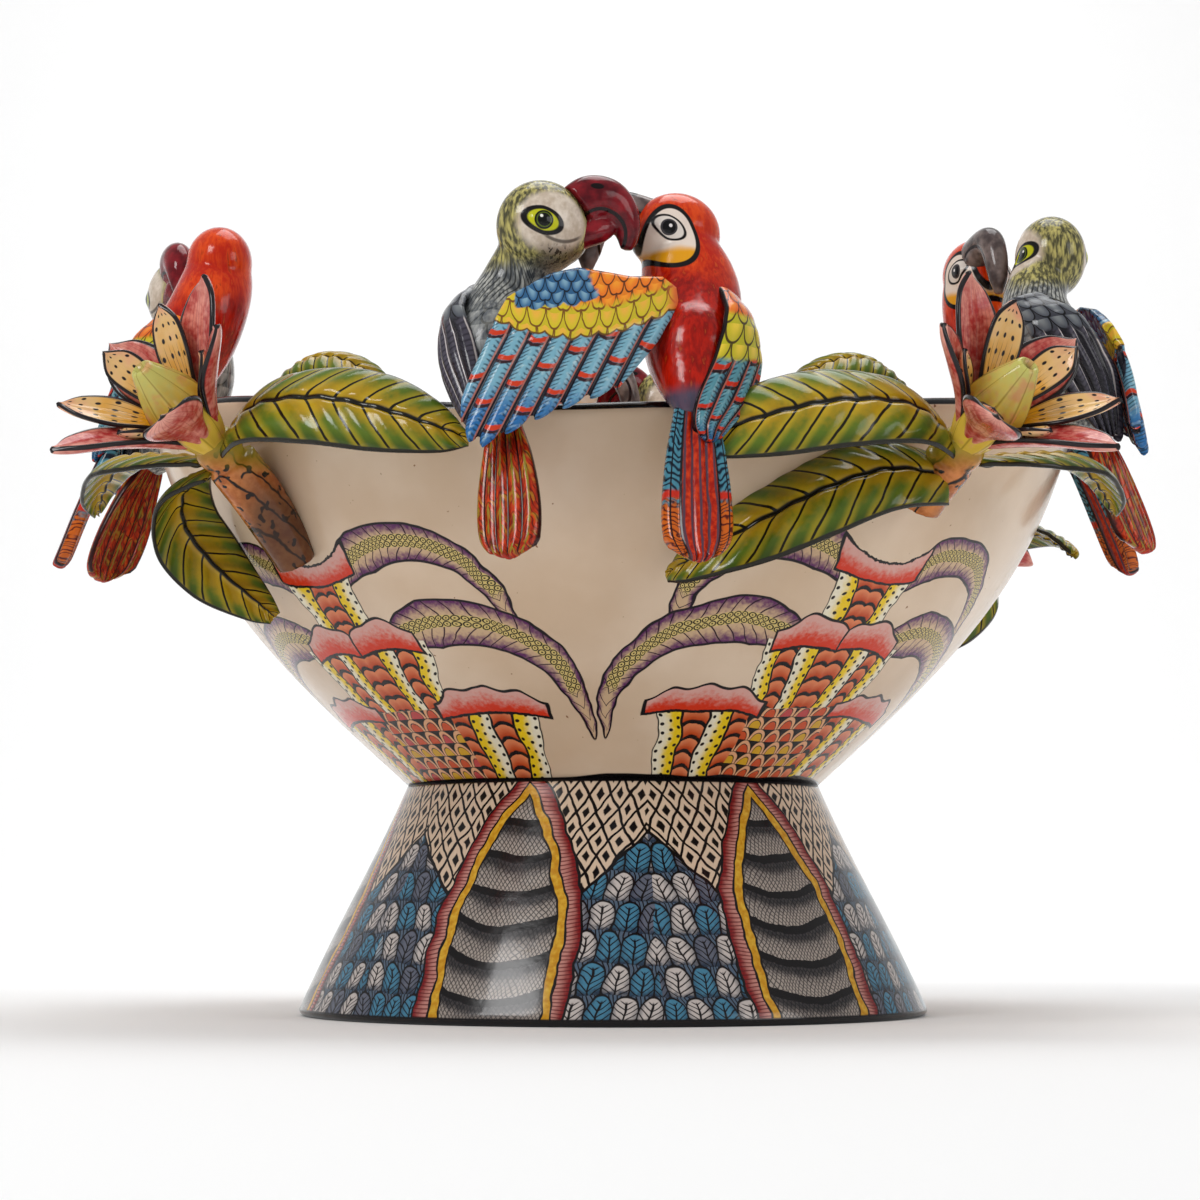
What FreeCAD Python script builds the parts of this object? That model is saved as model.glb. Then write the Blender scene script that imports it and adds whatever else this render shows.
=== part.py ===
"""Glazed clay pedestal bowl with kissing parrot pairs and flower sprays luted to its rim.

Frame: millimetres, +Z up, origin at the centre of the foot's resting ring, -Y towards the front.
Azimuths are degrees seen from above: 0 is the front (-Y), +90 the right (+X).
"""
import FreeCAD, Part

import math
import os

from FreeCAD import Vector as V

# ---- driving dimensions, mm and degrees ----
FOOT_RADIUS = 154.6
WAIST_RADIUS = 102.0
WAIST_Z = 112.5
WALL = 9.0
BASE_THICK = 10.0
FOOT_EDGE = 3.0
SPIGOT_RADIUS = 90.0
SPIGOT_DEPTH = 4.0
RIM_LOW_Z = 268.0
RIM_RISE = 28.0
RIM_RISE_RADIUS = 228.0
BOWL_TOP_Z = 300.0
PERCH_RADIUS = 222.0
SPRAY_RADIUS = 228.0

# Outer wall of the bowl, (radius, height) from waist to above the rim
OUTER_WALL = [(WAIST_RADIUS, WAIST_Z), (127, 135.5), (158, 165), (192, 206), (217, 251), (234, BOWL_TOP_Z)]

# Parrot pairs: (azimuth, how far the pair sits out from the perch radius)
PAIRS = {"front": (0.0, 0.0), "right": (86.0, -4.0), "back": (180.0, 0.0), "left": (-94.0, 8.0)}
# Flower sprays: (azimuth, hand). Hand +1 sends the long leaf towards larger azimuths.
SPRAYS = {
    "front_left": (-46.0, 1),
    "front_right": (38.0, -1),
    "back_right": (134.0, 1),
    "back_left": (-139.0, -1),
}
SIBLING_GAP = 0.5


# ---- small geometry helpers ----
def unit(v):
    return V(v).normalize()


def vec(p):
    return V(*p)


def spline_edge(points):
    curve = Part.BSplineCurve()
    curve.interpolate([V(p) for p in points])
    return curve.toShape()


def solid_loft(wires):
    loft = Part.makeLoft(wires, True, False)
    return loft if loft.Volume > 0 else loft.reversed()


def ellipse_wire(centre, side, front, a, b):
    """Closed ellipse with half-axis a along side and b along front."""
    normal = side.cross(front)
    major, minor, long_dir = (a, b, side) if a >= b else (b, a, front)
    curve = Part.Ellipse(V(0, 0, 0), major * 1.0001, minor)
    edge = curve.toShape()
    edge.Placement = FreeCAD.Placement(centre, FreeCAD.Rotation(long_dir, normal.cross(long_dir), normal, "XZY"))
    return Part.Wire([edge])


def tube(stations, side):
    """Loft of ellipses along a spine. A station is (centre, half width along side, half depth)."""
    centres = [vec(s[0]) for s in stations]
    wires = []
    for i, (centre, a, b) in enumerate(stations):
        before, after = centres[max(i - 1, 0)], centres[min(i + 1, len(centres) - 1)]
        tangent = unit(after - before)
        across = unit(side - tangent * side.dot(tangent))
        wires.append(ellipse_wire(vec(centre), across, tangent.cross(across), a, b))
    return solid_loft(wires)


def ellipsoid(centre, heading, half_length, half_side, half_height):
    """Ellipsoid with its long axis along a level heading."""
    ball = Part.makeSphere(1.0)
    side = V(-heading.y, heading.x, 0)
    m = FreeCAD.Matrix(
        heading.x * half_length, side.x * half_side, 0, centre.x,
        heading.y * half_length, side.y * half_side, 0, centre.y,
        0, 0, half_height, centre.z,
        0, 0, 0, 1,
    )
    return ball.transformGeometry(m)


def plate(stations, thickness, outward):
    """Thin curved plate lofted from edge pairs.

    A station is (edge a, edge b, bulge): the section bows by bulge along outward between its two edges.
    """
    wires = []
    for a, b, bulge in stations:
        a, b = vec(a), vec(b)
        across = unit(b - a)
        n = unit(outward - across * outward.dot(across))
        middle = (a + b) * 0.5 + n * bulge
        inner = n * thickness
        top = spline_edge([a, middle, b])
        bottom = spline_edge([b - inner * 0.7, middle - inner, a - inner * 0.7])
        wires.append(
            Part.Wire(
                [
                    top,
                    Part.makeLine(b, b - inner * 0.7),
                    bottom,
                    Part.makeLine(a - inner * 0.7, a),
                ]
            )
        )
    return solid_loft(wires)


def carve(solid, tools):
    """solid without the tools whose boxes meet its own; its largest piece is kept."""
    for tool in tools:
        if not solid.BoundBox.intersect(tool.BoundBox):
            continue
        solid = max(solid.cut(tool).Solids, key=lambda s: s.Volume)
    return solid


def carve_clear(solid, siblings):
    """solid cut so that a small gap is left to each sibling."""
    for sibling in siblings:
        for step in (V(1, 0, 0), V(0, 1, 0), V(0, 0, 1)):
            for way in (-SIBLING_GAP, SIBLING_GAP):
                solid = carve(solid, [sibling.translated(step * way)])
    return solid


def carve_in_order(pieces):
    """Each piece cut by the ones before it, so that neighbours meet face to face."""
    done, finished = {}, []
    for name, solids in pieces.items():
        done[name] = [carve(s, finished) for s in solids]
        finished += done[name]
    return done


# ---- bowl and foot ----
def wall_curve():
    curve = Part.BSplineCurve()
    curve.interpolate([V(r, 0, z) for r, z in OUTER_WALL])
    return curve


def wall_radius(z):
    """Outer radius of the bowl at a height."""
    curve = wall_curve()
    low, high = curve.FirstParameter, curve.LastParameter
    for _ in range(40):
        middle = (low + high) / 2
        if curve.value(middle).z < z:
            low = middle
        else:
            high = middle
    return curve.value(low).x


def rim_z(azimuth):
    """The rim is saddle-shaped: low at the front and back, high at the two sides."""
    reach = PERCH_RADIUS * math.sin(math.radians(azimuth))
    return RIM_LOW_Z + RIM_RISE * (reach / RIM_RISE_RADIUS) ** 2


def make_bowl():
    outer = wall_curve().toShape()
    inner_points = [(90, WAIST_Z + BASE_THICK)]
    inner_points += [(r - WALL - 1.5 * (1 - k / 4.0), z + 2.5 * (1 - k / 4.0)) for k, (r, z) in enumerate(OUTER_WALL[1:])]
    inner = spline_edge([V(r, 0, z) for r, z in inner_points])
    top_outer, top_inner = outer.Vertexes[-1].Point, inner.Vertexes[-1].Point
    floor_z = WAIST_Z + BASE_THICK - 1.0
    corners = [
        V(0, 0, floor_z),
        V(0, 0, WAIST_Z - SPIGOT_DEPTH),
        V(SPIGOT_RADIUS, 0, WAIST_Z - SPIGOT_DEPTH),
        V(SPIGOT_RADIUS, 0, WAIST_Z),
        V(WAIST_RADIUS, 0, WAIST_Z),
    ]
    edges = [Part.makeLine(a, b) for a, b in zip(corners, corners[1:])]
    edges += [outer, Part.makeLine(top_outer, top_inner), inner, Part.makeLine(V(90, 0, WAIST_Z + BASE_THICK), corners[0])]
    face = Part.Face(Part.Wire(Part.__sortEdges__(edges)))
    bowl = face.revolve(V(0, 0, 0), V(0, 0, 1), 360)
    return bowl.cut(saddle_tool())


def saddle_tool():
    """Everything above the saddle-shaped rim."""
    half = 260.0
    end_z = RIM_LOW_Z + RIM_RISE * (half / RIM_RISE_RADIUS) ** 2
    curve = Part.BezierCurve()
    curve.setPoles([V(-half, -half, end_z), V(0, -half, 2 * RIM_LOW_Z - end_z), V(half, -half, end_z)])
    top_z = BOWL_TOP_Z + 60
    corners = [V(half, -half, end_z), V(half, -half, top_z), V(-half, -half, top_z), V(-half, -half, end_z)]
    edges = [curve.toShape()] + [Part.makeLine(a, b) for a, b in zip(corners, corners[1:])]
    return Part.Face(Part.Wire(edges)).extrude(V(0, 2 * half, 0))


def make_foot():
    outer = [(FOOT_RADIUS - 2, 0), (FOOT_RADIUS, FOOT_EDGE), (WAIST_RADIUS, WAIST_Z)]
    slope = (FOOT_RADIUS - WAIST_RADIUS) / (WAIST_Z - FOOT_EDGE)
    bottom_inner = SPIGOT_RADIUS + 0.05 + slope * WAIST_Z
    inner = [(SPIGOT_RADIUS + 0.05, WAIST_Z), (bottom_inner, 0)]
    points = [V(r, 0, z) for r, z in outer + inner]
    wire = Part.makePolygon(points + [points[0]])
    return Part.Face(wire).revolve(V(0, 0, 0), V(0, 0, 1), 360)


# ---- parrots, in the pair's own frame: x along the rim, y inwards, z up from the rim's low level ----
GREY_YAW, RED_YAW, KISS_YAW = math.radians(38), math.radians(15), math.radians(20)
GREY_SIDE = V(math.cos(GREY_YAW), -math.sin(GREY_YAW), 0)
GREY_BACK = V(-math.sin(GREY_YAW), -math.cos(GREY_YAW), 0)
RED_SIDE = V(math.cos(RED_YAW), math.sin(RED_YAW), 0)
RED_BACK = V(math.sin(RED_YAW), -math.cos(RED_YAW), 0)
GREY_HEADING = V(math.cos(KISS_YAW), math.sin(KISS_YAW), 0)
RED_HEADING = -GREY_HEADING
GREY_HEAD, RED_HEAD = V(-31.7, 0, 76), V(27.3, 33, 80.6)

GREY_SPINE = [
    ((-47, -19, -13), 7, 5),
    ((-48, -12, 0), 15, 13),
    ((-50, -2, 18), 20, 20),
    ((-48, 7, 37), 19.5, 19),
    ((-43, 9, 52), 15.5, 16),
    ((-36, 5, 66), 14, 15),
]
RED_SPINE = [
    ((34, -16, -10), 7, 5),
    ((34, -8, 3), 14, 13),
    ((33, 6, 20), 19.5, 20),
    ((33, 20, 38), 21, 21),
    ((32, 28, 53), 20, 19.5),
    ((29, 32, 68), 18, 18),
]
# Raised wing, from the red parrot's shoulder round the grey parrot's back: (top edge, bottom edge, bulge)
RAISED_WING = [
    ((27, 2, 52), (27, -2, 31), 2),
    ((8, -9, 53), (11, -16, 10), 4),
    ((-14, -17, 55), (2, -27, -4), 5),
    ((-30, -21, 51), (-14, -36, -12), 7),
    ((-43, -26, 43), (-34, -43, -22), 7),
    ((-51, -31, 31), (-54, -44, -27), 5),
    ((-56, -32, 18), (-63, -38, -17), 3),
]
# Folded wings: (front edge, back edge, bulge) from shoulder to tip
GREY_NEAR_WING = [
    ((-55, 24, 51), (-61, 8, 54), 1.5),
    ((-70, 17, 36), (-66, -12, 41), 5),
    ((-74, 8, 16), (-60, -24, 20), 7),
    ((-70, -5, -1), (-57, -29, 2), 4),
    ((-60, -20, -19), (-55, -30, -18), 1),
]
GREY_FAR_WING = [
    ((-26, 2, 48), (-35, -8, 50), 1.5),
    ((-30, -10, 36), (-44, -17, 40), 4),
    ((-34.7, -17, 16), (-51, -28, 20), 4),
    ((-36, -24, -1), (-50, -31, 2), 3),
    ((-44, -29, -19), (-50, -32, -18), 1),
]
RED_FOLDED = [
    ((50, 28, 53), (46, 8, 53), 1.5),
    ((60, 20, 38), (48, -7, 38), 4),
    ((64, 10, 18), (42, -18, 16), 4.5),
    ((60, -4, 0), (34.5, -25, -2), 4),
    ((50, -17, -14), (33, -28, -14), 2.5),
    ((43, -23, -22), (37, -28, -22), 1),
]
# Tails: (spine point, half width) from rump to tip
GREY_TAIL = [((-47, -17, -8), 8), ((-46.5, -25, -24), 13), ((-46, -33, -46), 17), ((-45.5, -39, -63), 16), ((-45, -42, -72), 9)]
RED_TAIL = [((34, -14, -4), 8), ((34.2, -24, -22), 11), ((34.4, -34, -45), 16), ((34.6, -41, -63), 15.5), ((34.8, -45, -73), 9)]
TAIL_THICK, WING_THICK, FEATHER_BULGE = 6.0, 5.0, 2.5
RAISED_WING_FACES = V(-0.35, -1, 0.2)


def mandible(root, heading, stations):
    """Hooked half of a beak: stations are (distance ahead of root, height, half width, half depth)."""
    side = V(-heading.y, heading.x, 0)
    return tube([(tuple(root + heading * d + V(0, 0, z)), w, h) for d, z, w, h in stations], side)


UPPER_MANDIBLE = [(13, 8, 8, 10), (20, 13, 7.5, 9.5), (29, 13, 7, 8.5), (35, 7, 6, 7), (37.5, -1, 4, 4.5), (37, -7, 1.5, 2)]
LOWER_MANDIBLE = [(14, -9.5, 5, 4.5), (19, -8.5, 4.5, 4), (24, -7, 4, 3.5), (28, -7.5, 2.5, 2.5)]
RED_MANDIBLE = [(16, 7, 7, 8), (24, 11, 6.5, 7.5), (32, 9, 6, 7), (37, 0, 5.5, 6), (39.5, -10, 4, 5), (40, -18, 1.5, 2)]
BEAK_OFFSET = 5.0


def tail(stations, side, back):
    edges = [(vec(p) - side * w, vec(p) + side * w, FEATHER_BULGE) for p, w in stations]
    return plate(edges, TAIL_THICK, back)


def make_pair():
    """The pieces of one pair in its own frame, in the order in which they are carved."""
    grey = tube(GREY_SPINE, GREY_SIDE).fuse(ellipsoid(GREY_HEAD, GREY_HEADING, 20, 17, 20.5))
    red = tube(RED_SPINE, RED_SIDE).fuse(ellipsoid(RED_HEAD, RED_HEADING, 20, 16.5, 18.5))
    beak_side = V(-GREY_HEADING.y, GREY_HEADING.x, 0) * BEAK_OFFSET
    grey_root, red_root = GREY_HEAD - beak_side, RED_HEAD + beak_side
    return {
        "grey_body": [grey.Solids[0]],
        "red_body": [red.Solids[0]],
        "grey_tail": [tail(GREY_TAIL, GREY_SIDE, GREY_BACK)],
        "red_tail": [tail(RED_TAIL, RED_SIDE, RED_BACK)],
        "red_raised_wing": [plate(RAISED_WING, WING_THICK, RAISED_WING_FACES)],
        "grey_wings": [
            plate(GREY_NEAR_WING, WING_THICK, -GREY_SIDE),
            plate(GREY_FAR_WING, WING_THICK, GREY_SIDE + GREY_BACK),
        ],
        "red_folded_wing": [plate(RED_FOLDED, WING_THICK, RED_SIDE + RED_BACK * 0.4)],
        "grey_beak": [
            mandible(grey_root, GREY_HEADING, UPPER_MANDIBLE),
            mandible(grey_root, GREY_HEADING, LOWER_MANDIBLE),
        ],
        "red_beak": [mandible(red_root, RED_HEADING, RED_MANDIBLE)],
    }


def placed(shape, azimuth, radius, z):
    """shape moved from a rim frame at that azimuth into the part's frame."""
    a = math.radians(azimuth)
    copy = shape.copy()
    move = FreeCAD.Placement(V(radius * math.sin(a), -radius * math.cos(a), z), FreeCAD.Rotation(V(0, 0, 1), azimuth))
    copy.Placement = move.multiply(copy.Placement)
    return copy


# ---- flower sprays, in a rim frame: x along the rim, y inwards, z up from the rim ----
FLOWER_BASE = V(0, -17, -26)
FLOWER_AXIS = V(0.06, -0.83, 0.56)
STEM = [((0, 28, -74), 9), ((0, 20, -62), 11), ((0, 4, -44), 12), ((0, -10, -31), 12)]
SHORT_STEM = [((0, 8, -50), 9), ((0, 3, -43), 10), ((0, -4, -36), 11), ((0, -11, -30), 11.5)]
RECEPTACLE = 11.0
INNER_START, OUTER_START = 6.0, 10.0
# Petals in order of turn: (turn round the axis, opening from the axis, length, half width)
OUTER_PETALS = [(26, 35, 58, 13), (84, 41, 65, 14), (152, 44, 60, 15), (246, 39, 66, 14), (318, 36, 52, 18)]
INNER_PETALS = [
    (34, 27, 46, 10), (104, 28, 62, 12), (160, 30, 60, 12),
    (208, 33, 66, 11), (262, 29, 46, 11), (322, 27, 42, 10),
]
PISTIL = [(4, 8), (16, 12), (30, 13.5), (43, 10), (54, 5)]
PETAL_THICK, LEAF_THICK = 3.6, 3.6
# Leaves: (azimuth step, radius out from the rim, height from the rim, half width, lean) along the midrib.
# Lean turns the blade about its midrib: 0 stands it upright, 90 lays it flat.
LONG_LEAF = [
    (1, 15, -22, 12, 35), (7, 19, -12, 19, 35), (15, 18, -12, 22, 30),
    (22, 15, -18, 20, 25), (28, 12, -26, 12, 22), (31, 10, -31, 3, 20),
]
LOW_LEAF = [
    (1, 10, -38, 14, 25), (8, 6, -38, 20, 32), (15, -2, -48, 23, 36),
    (22, -12, -62, 21, 38), (29, -22, -76, 12, 40), (32, -27, -82, 3, 40),
]
OUT_LEAF = [
    (-2, 15, -30, 7, 80), (-9, 24, -28, 16, 78), (-16, 30, -26, 17, 74),
    (-22, 32, -34, 12, 60), (-26, 32, -42, 3, 50),
]
BACK_LEAF = [
    (2, -8, 2, 7, 60), (6, -12, 12, 14, 62), (10, -18, 13, 15, 66),
    (14, -24, 6, 11, 70), (16, -28, -2, 3, 70),
]
CURLED_LEAF = [
    (-2, 12, -34, 9, 60), (-9, 12, -40, 16, 60), (-14, 2, -56, 19, 55),
    (-14, -14, -74, 17, 45), (-11, -30, -90, 9, 40), (-9, -36, -97, 3, 40),
]


def axis_frame(axis):
    a = unit(axis)
    e1 = unit(V(1, 0, 0) - a * a.x)
    return a, e1, a.cross(e1)


# Petal sections: (share of the length, share of the width, how far it has opened)
PETAL_SECTIONS = ((0.0, 0.35, 0.0), (0.3, 0.85, 0.15), (0.6, 1.0, 0.5), (0.85, 0.7, 0.9), (1.0, 0.2, 1.1))
PETAL_CUP, PETAL_GAP = 0.38, 0.9
LEAF_CUP = 0.22


def petals(recipe, start):
    """Cupped petals that leave the receptacle and curve outwards, each within its share of the turn."""
    a, e1, e2 = axis_frame(FLOWER_AXIS)
    turns = [petal[0] for petal in recipe]
    ring = []
    for turn, opening, length, half_width in recipe:
        gaps = [abs((turn - other + 180) % 360 - 180) for other in turns if other != turn]
        share_of_turn = math.tan(math.radians(min(gaps) / 2))
        t, o = math.radians(turn), math.radians(opening)
        out = e1 * math.cos(t) + e2 * math.sin(t)
        side = a.cross(out)
        stations = []
        for share, width, flare in PETAL_SECTIONS:
            along = share * length
            angle = o * (0.75 + 0.35 * flare)
            reach = start * 0.75 + along * math.sin(angle)
            p = FLOWER_BASE + a * (start + along * math.cos(angle)) + out * reach
            w = min(half_width * width, reach * share_of_turn - PETAL_GAP)
            stations.append((p - side * w, p + side * w, w * PETAL_CUP))
        ring.append(plate(stations, PETAL_THICK, out - a * 0.3))
    return ring


def leaf(stations, azimuth, hand, z0):
    """A leaf blade whose midrib is given round the bowl, in the part's own frame."""
    sections = []
    for step, out_by, up_by, half_width, lean in stations:
        a = math.radians(azimuth + hand * step)
        radial = V(math.sin(a), -math.cos(a), 0)
        lean_angle = math.radians(lean)
        across = V(0, 0, 1) * math.cos(lean_angle) - radial * math.sin(lean_angle)
        p = radial * (SPRAY_RADIUS + out_by) + V(0, 0, z0 + up_by)
        sections.append((p + across * half_width, p - across * half_width, half_width * LEAF_CUP))
    a = math.radians(azimuth)
    outward = V(math.sin(a), -math.cos(a), 0) + V(0, 0, 0.9)
    return plate(sections, LEAF_THICK, outward)


def make_flower(hand):
    """Stem and flower in the spray's own frame, in the order in which they are carved."""
    a, e1, _ = axis_frame(FLOWER_AXIS)
    level_heading = unit(V(FLOWER_AXIS.x, FLOWER_AXIS.y, 0))
    stalk = tube([(p, r, r) for p, r in (STEM if hand > 0 else SHORT_STEM)], V(1, 0, 0))
    cup = ellipsoid(FLOWER_BASE, level_heading, RECEPTACLE, RECEPTACLE, RECEPTACLE)
    pieces = {
        "stem": [stalk.fuse(cup).Solids[0]],
        "pistil": [tube([(tuple(FLOWER_BASE + a * d), r, r) for d, r in PISTIL], e1)],
        "inner_petals": petals(INNER_PETALS, INNER_START),
        "outer_petals": petals(OUTER_PETALS, OUTER_START),
    }
    if hand > 0:
        return pieces
    return {name: [s.mirror(V(0, 0, 0), V(1, 0, 0)) for s in solids] for name, solids in pieces.items()}


def make_leaves(azimuth, hand, others):
    """The spray's leaves in the part's frame, clear of the other pieces and of each other."""
    leaves = []
    for stations in (LONG_LEAF, OUT_LEAF, BACK_LEAF, CURLED_LEAF if hand > 0 else LOW_LEAF):
        blade = carve(leaf(stations, azimuth, hand, rim_z(azimuth)), others)
        leaves.append(carve_clear(blade, leaves))
    return leaves


def export(name, solids):
    shape = solids[0] if len(solids) == 1 else Part.makeCompound(solids)
    shape.exportStep(os.path.join("parts", name + ".step"))
    faults = "" if all(s.isValid() and s.Volume > 0 for s in solids) else "BAD"
    print(f"{name:34s} solids {len(solids):2d} volume {shape.Volume / 1000:8.1f} cm3 {faults}")


def main():
    os.makedirs("parts", exist_ok=True)
    bowl = make_bowl().Solids[0]
    export("bowl", [bowl])
    export("foot", [make_foot().Solids[0]])
    finished = [bowl]
    pair = carve_in_order(make_pair())
    for place, (azimuth, outward) in PAIRS.items():
        for piece, solids in pair.items():
            set_down = [placed(s, azimuth, PERCH_RADIUS + outward, rim_z(azimuth)) for s in solids]
            set_down = [carve(s, [bowl]) for s in set_down]
            finished += set_down
            export(f"{place}_{piece}", set_down)
    flowers = {hand: carve_in_order(make_flower(hand)) for hand in (1, -1)}
    for place, (azimuth, hand) in SPRAYS.items():
        for piece, solids in flowers[hand].items():
            set_down = [carve(placed(s, azimuth, SPRAY_RADIUS, rim_z(azimuth)), [bowl]) for s in solids]
            finished += set_down
            export(f"{place}_{piece}", set_down)
        export(f"{place}_leaves", make_leaves(azimuth, hand, finished))


main()
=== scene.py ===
import math

import bpy
import numpy as np
from mathutils import Matrix, Vector


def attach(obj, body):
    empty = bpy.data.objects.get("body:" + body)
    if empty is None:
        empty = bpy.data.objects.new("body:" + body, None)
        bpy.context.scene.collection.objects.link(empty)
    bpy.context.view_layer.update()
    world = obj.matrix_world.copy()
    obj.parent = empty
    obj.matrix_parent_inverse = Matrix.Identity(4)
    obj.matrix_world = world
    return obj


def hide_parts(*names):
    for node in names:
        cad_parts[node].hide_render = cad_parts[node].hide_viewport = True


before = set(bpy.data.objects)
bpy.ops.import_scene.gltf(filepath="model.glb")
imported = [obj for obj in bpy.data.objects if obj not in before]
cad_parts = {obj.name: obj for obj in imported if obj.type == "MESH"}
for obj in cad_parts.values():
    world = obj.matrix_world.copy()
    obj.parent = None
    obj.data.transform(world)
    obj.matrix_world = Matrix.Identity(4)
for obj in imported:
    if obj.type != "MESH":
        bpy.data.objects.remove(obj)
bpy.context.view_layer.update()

# ---- design sizes, in millimetres and degrees: x to the right, y away from the viewer, z up ----
MM = 0.001
DEG = 180.0 / math.pi
WALL, FLOOR_THICK = 9.0, 9.0
WAIST_RADIUS, WAIST_Z = 102.0, 112.5
FOOT_RADIUS, FOOT_FLARE, FOOT_ROUND = 154.6, 1.5, 3.0
FOOT_INNER, FOOT_TOP_INNER, FOOT_ROOF = 144.0, 90.2, 4.0
OUTER_WALL = [(WAIST_RADIUS, WAIST_Z), (127, 135.5), (158, 165), (192, 206), (217, 251), (234, 300)]
RIM_LOW_Z, RIM_RISE, RIM_RISE_RADIUS = 268.0, 28.0, 228.0
PERCH_RADIUS, SPRAY_RADIUS = 222.0, 228.0
PAIRS = {"front": (0.0, 0.0), "right": (86.0, -4.0), "back": (180.0, 0.0), "left": (-94.0, 8.0)}
SPRAYS = {
    "front_left": (-46.0, 1),
    "front_right": (38.0, -1),
    "back_right": (134.0, 1),
    "back_left": (-139.0, -1),
}
# Azimuths of the painted motifs; degrees from one painted arch to the next, and where they start
MOTIFS = (-46.0, 39.0, 134.0, -139.0)
ARCHES, ARCH_START = 60.0, 52.0


def rim_z(azimuth):
    """The rim is saddle-shaped: low at the front and back, high at the two sides."""
    return RIM_LOW_Z + RIM_RISE * (PERCH_RADIUS * math.sin(math.radians(azimuth)) / RIM_RISE_RADIUS) ** 2


def outward_at(azimuth):
    """Level direction from the axis towards an azimuth."""
    a = math.radians(azimuth)
    return np.array((math.sin(a), -math.cos(a), 0))


def standing(azimuth, radius, z):
    """Matrix, in metres, that puts a rim frame's piece at that azimuth."""
    a = math.radians(azimuth)
    place = Vector((radius * math.sin(a), -radius * math.cos(a), z)) * MM
    return Matrix.Translation(place) @ Matrix.Rotation(a, 4, "Z")


# ---- meshes ----
def smooth_path(points, share):
    """Points along a Catmull-Rom curve through the given points; share is an array from 0 to 1."""
    p = np.array(points, float)
    if p.ndim == 1:
        p = p[:, None]
    last = len(p) - 1
    t = np.clip(np.asarray(share) * last, 0, last - 1e-9)
    i = t.astype(int)
    f = (t - i)[..., None]
    p0, p1, p2, p3 = p[np.maximum(i - 1, 0)], p[i], p[i + 1], p[np.minimum(i + 2, last)]
    return 0.5 * (
        2 * p1 + (p2 - p0) * f + (2 * p0 - 5 * p1 + 4 * p2 - p3) * f**2 + (3 * p1 - p0 - 3 * p2 + p3) * f**3
    )


def mesh_from(name, points, faces, uv=None):
    """Mesh in metres from points in millimetres, with one UV pair per point."""
    mesh = bpy.data.meshes.new(name)
    mesh.from_pydata((np.asarray(points) * MM).tolist(), [], faces)
    if uv is not None:
        layer = mesh.uv_layers.new(name="UVMap")
        loops = np.empty(len(mesh.loops), dtype=np.int64)
        mesh.loops.foreach_get("vertex_index", loops)
        layer.data.foreach_set("uv", np.asarray(uv, dtype=np.float32)[loops].ravel())
    mesh.polygons.foreach_set("use_smooth", [True] * len(mesh.polygons))
    mesh.update()
    return mesh


def unit(v):
    return v / np.maximum(np.linalg.norm(v, axis=-1, keepdims=True), 1e-9)


def slab(name, top, normal, thickness, uv):
    """Closed sheet: a grid of points, the same grid pushed back along its normals, and a rim between them."""
    nu, nv = top.shape[:2]
    points = np.concatenate([top.reshape(-1, 3), (top - normal * thickness[..., None]).reshape(-1, 3)])
    uvs = np.concatenate([uv.reshape(-1, 2)] * 2)
    i, j = np.meshgrid(np.arange(nu - 1), np.arange(nv - 1), indexing="ij")
    a = (i * nv + j).ravel()
    front = np.stack([a, a + nv, a + nv + 1, a + 1], 1)
    back = front[:, ::-1] + nu * nv
    edge = [k * nv for k in range(nu)] + [(nu - 1) * nv + k for k in range(1, nv)]
    edge += [k * nv + nv - 1 for k in range(nu - 2, -1, -1)] + [k for k in range(nv - 2, 0, -1)]
    ring = [(e, edge[(k + 1) % len(edge)]) for k, e in enumerate(edge)]
    rim = [(p, p + nu * nv, q + nu * nv, q) for p, q in ring]
    return mesh_from(name, points, front.tolist() + back.tolist() + rim, uvs)


def blade(name, stations, thick, outward, counts=(60, 28), relief=None, tip=None, edge_round=6):
    """Curved plate of clay lofted from (edge a, edge b, bulge) stations; UV runs along (u) and across (v)."""
    u, v = np.meshgrid(np.linspace(0, 1, counts[0]), np.linspace(0, 1, counts[1]), indexing="ij")
    along = u if tip is None else u * tip(v)
    a = smooth_path([s[0] for s in stations], along)
    b = smooth_path([s[1] for s in stations], along)
    bulge = smooth_path([s[2] for s in stations], along)
    across = unit(b - a)
    out = np.asarray(outward, float)
    face = unit(out - across * (across @ out)[..., None])
    points = a + (b - a) * v[..., None] + face * bulge * (4 * v * (1 - v))[..., None]
    normal = unit(np.cross(np.gradient(points, axis=0), np.gradient(points, axis=1)))
    if np.sum(normal * face) < 0:
        normal = -normal
    if relief is not None:
        points = points + normal * relief(along, v)[..., None]
    side_edge = np.clip(1 - np.abs(2 * v - 1) ** edge_round, 0, 1)
    end_edge = np.clip(1 - np.abs(2 * u - 1) ** (3 * edge_round), 0, 1)
    rounding = np.sqrt(side_edge) * np.sqrt(end_edge)
    points = points - normal * (0.5 * thick * (1 - rounding))[..., None]
    return slab(name, points, normal, thick * (0.15 + 0.85 * rounding), np.stack([along, v], -1))


def tube(stations, side, rings=26, around=28):
    """Closed loft of ellipses on a spine of (centre, half width along side, half depth): points and faces."""
    share = np.linspace(0, 1, rings)
    centre = smooth_path([s[0] for s in stations], share)
    half = smooth_path([s[1:] for s in stations], share)
    tangent = unit(np.gradient(centre, axis=0))
    side = np.asarray(side, float)
    across = unit(side - tangent * (tangent @ side)[:, None])
    deep = np.cross(tangent, across)
    t = np.linspace(0, 2 * math.pi, around, endpoint=False)
    ring = across[:, None] * (np.cos(t)[None, :, None] * half[:, None, :1])
    ring = ring + deep[:, None] * (np.sin(t)[None, :, None] * half[:, None, 1:2])
    return (centre[:, None] + ring).reshape(-1, 3), ring_faces(rings, around, True)


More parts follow.
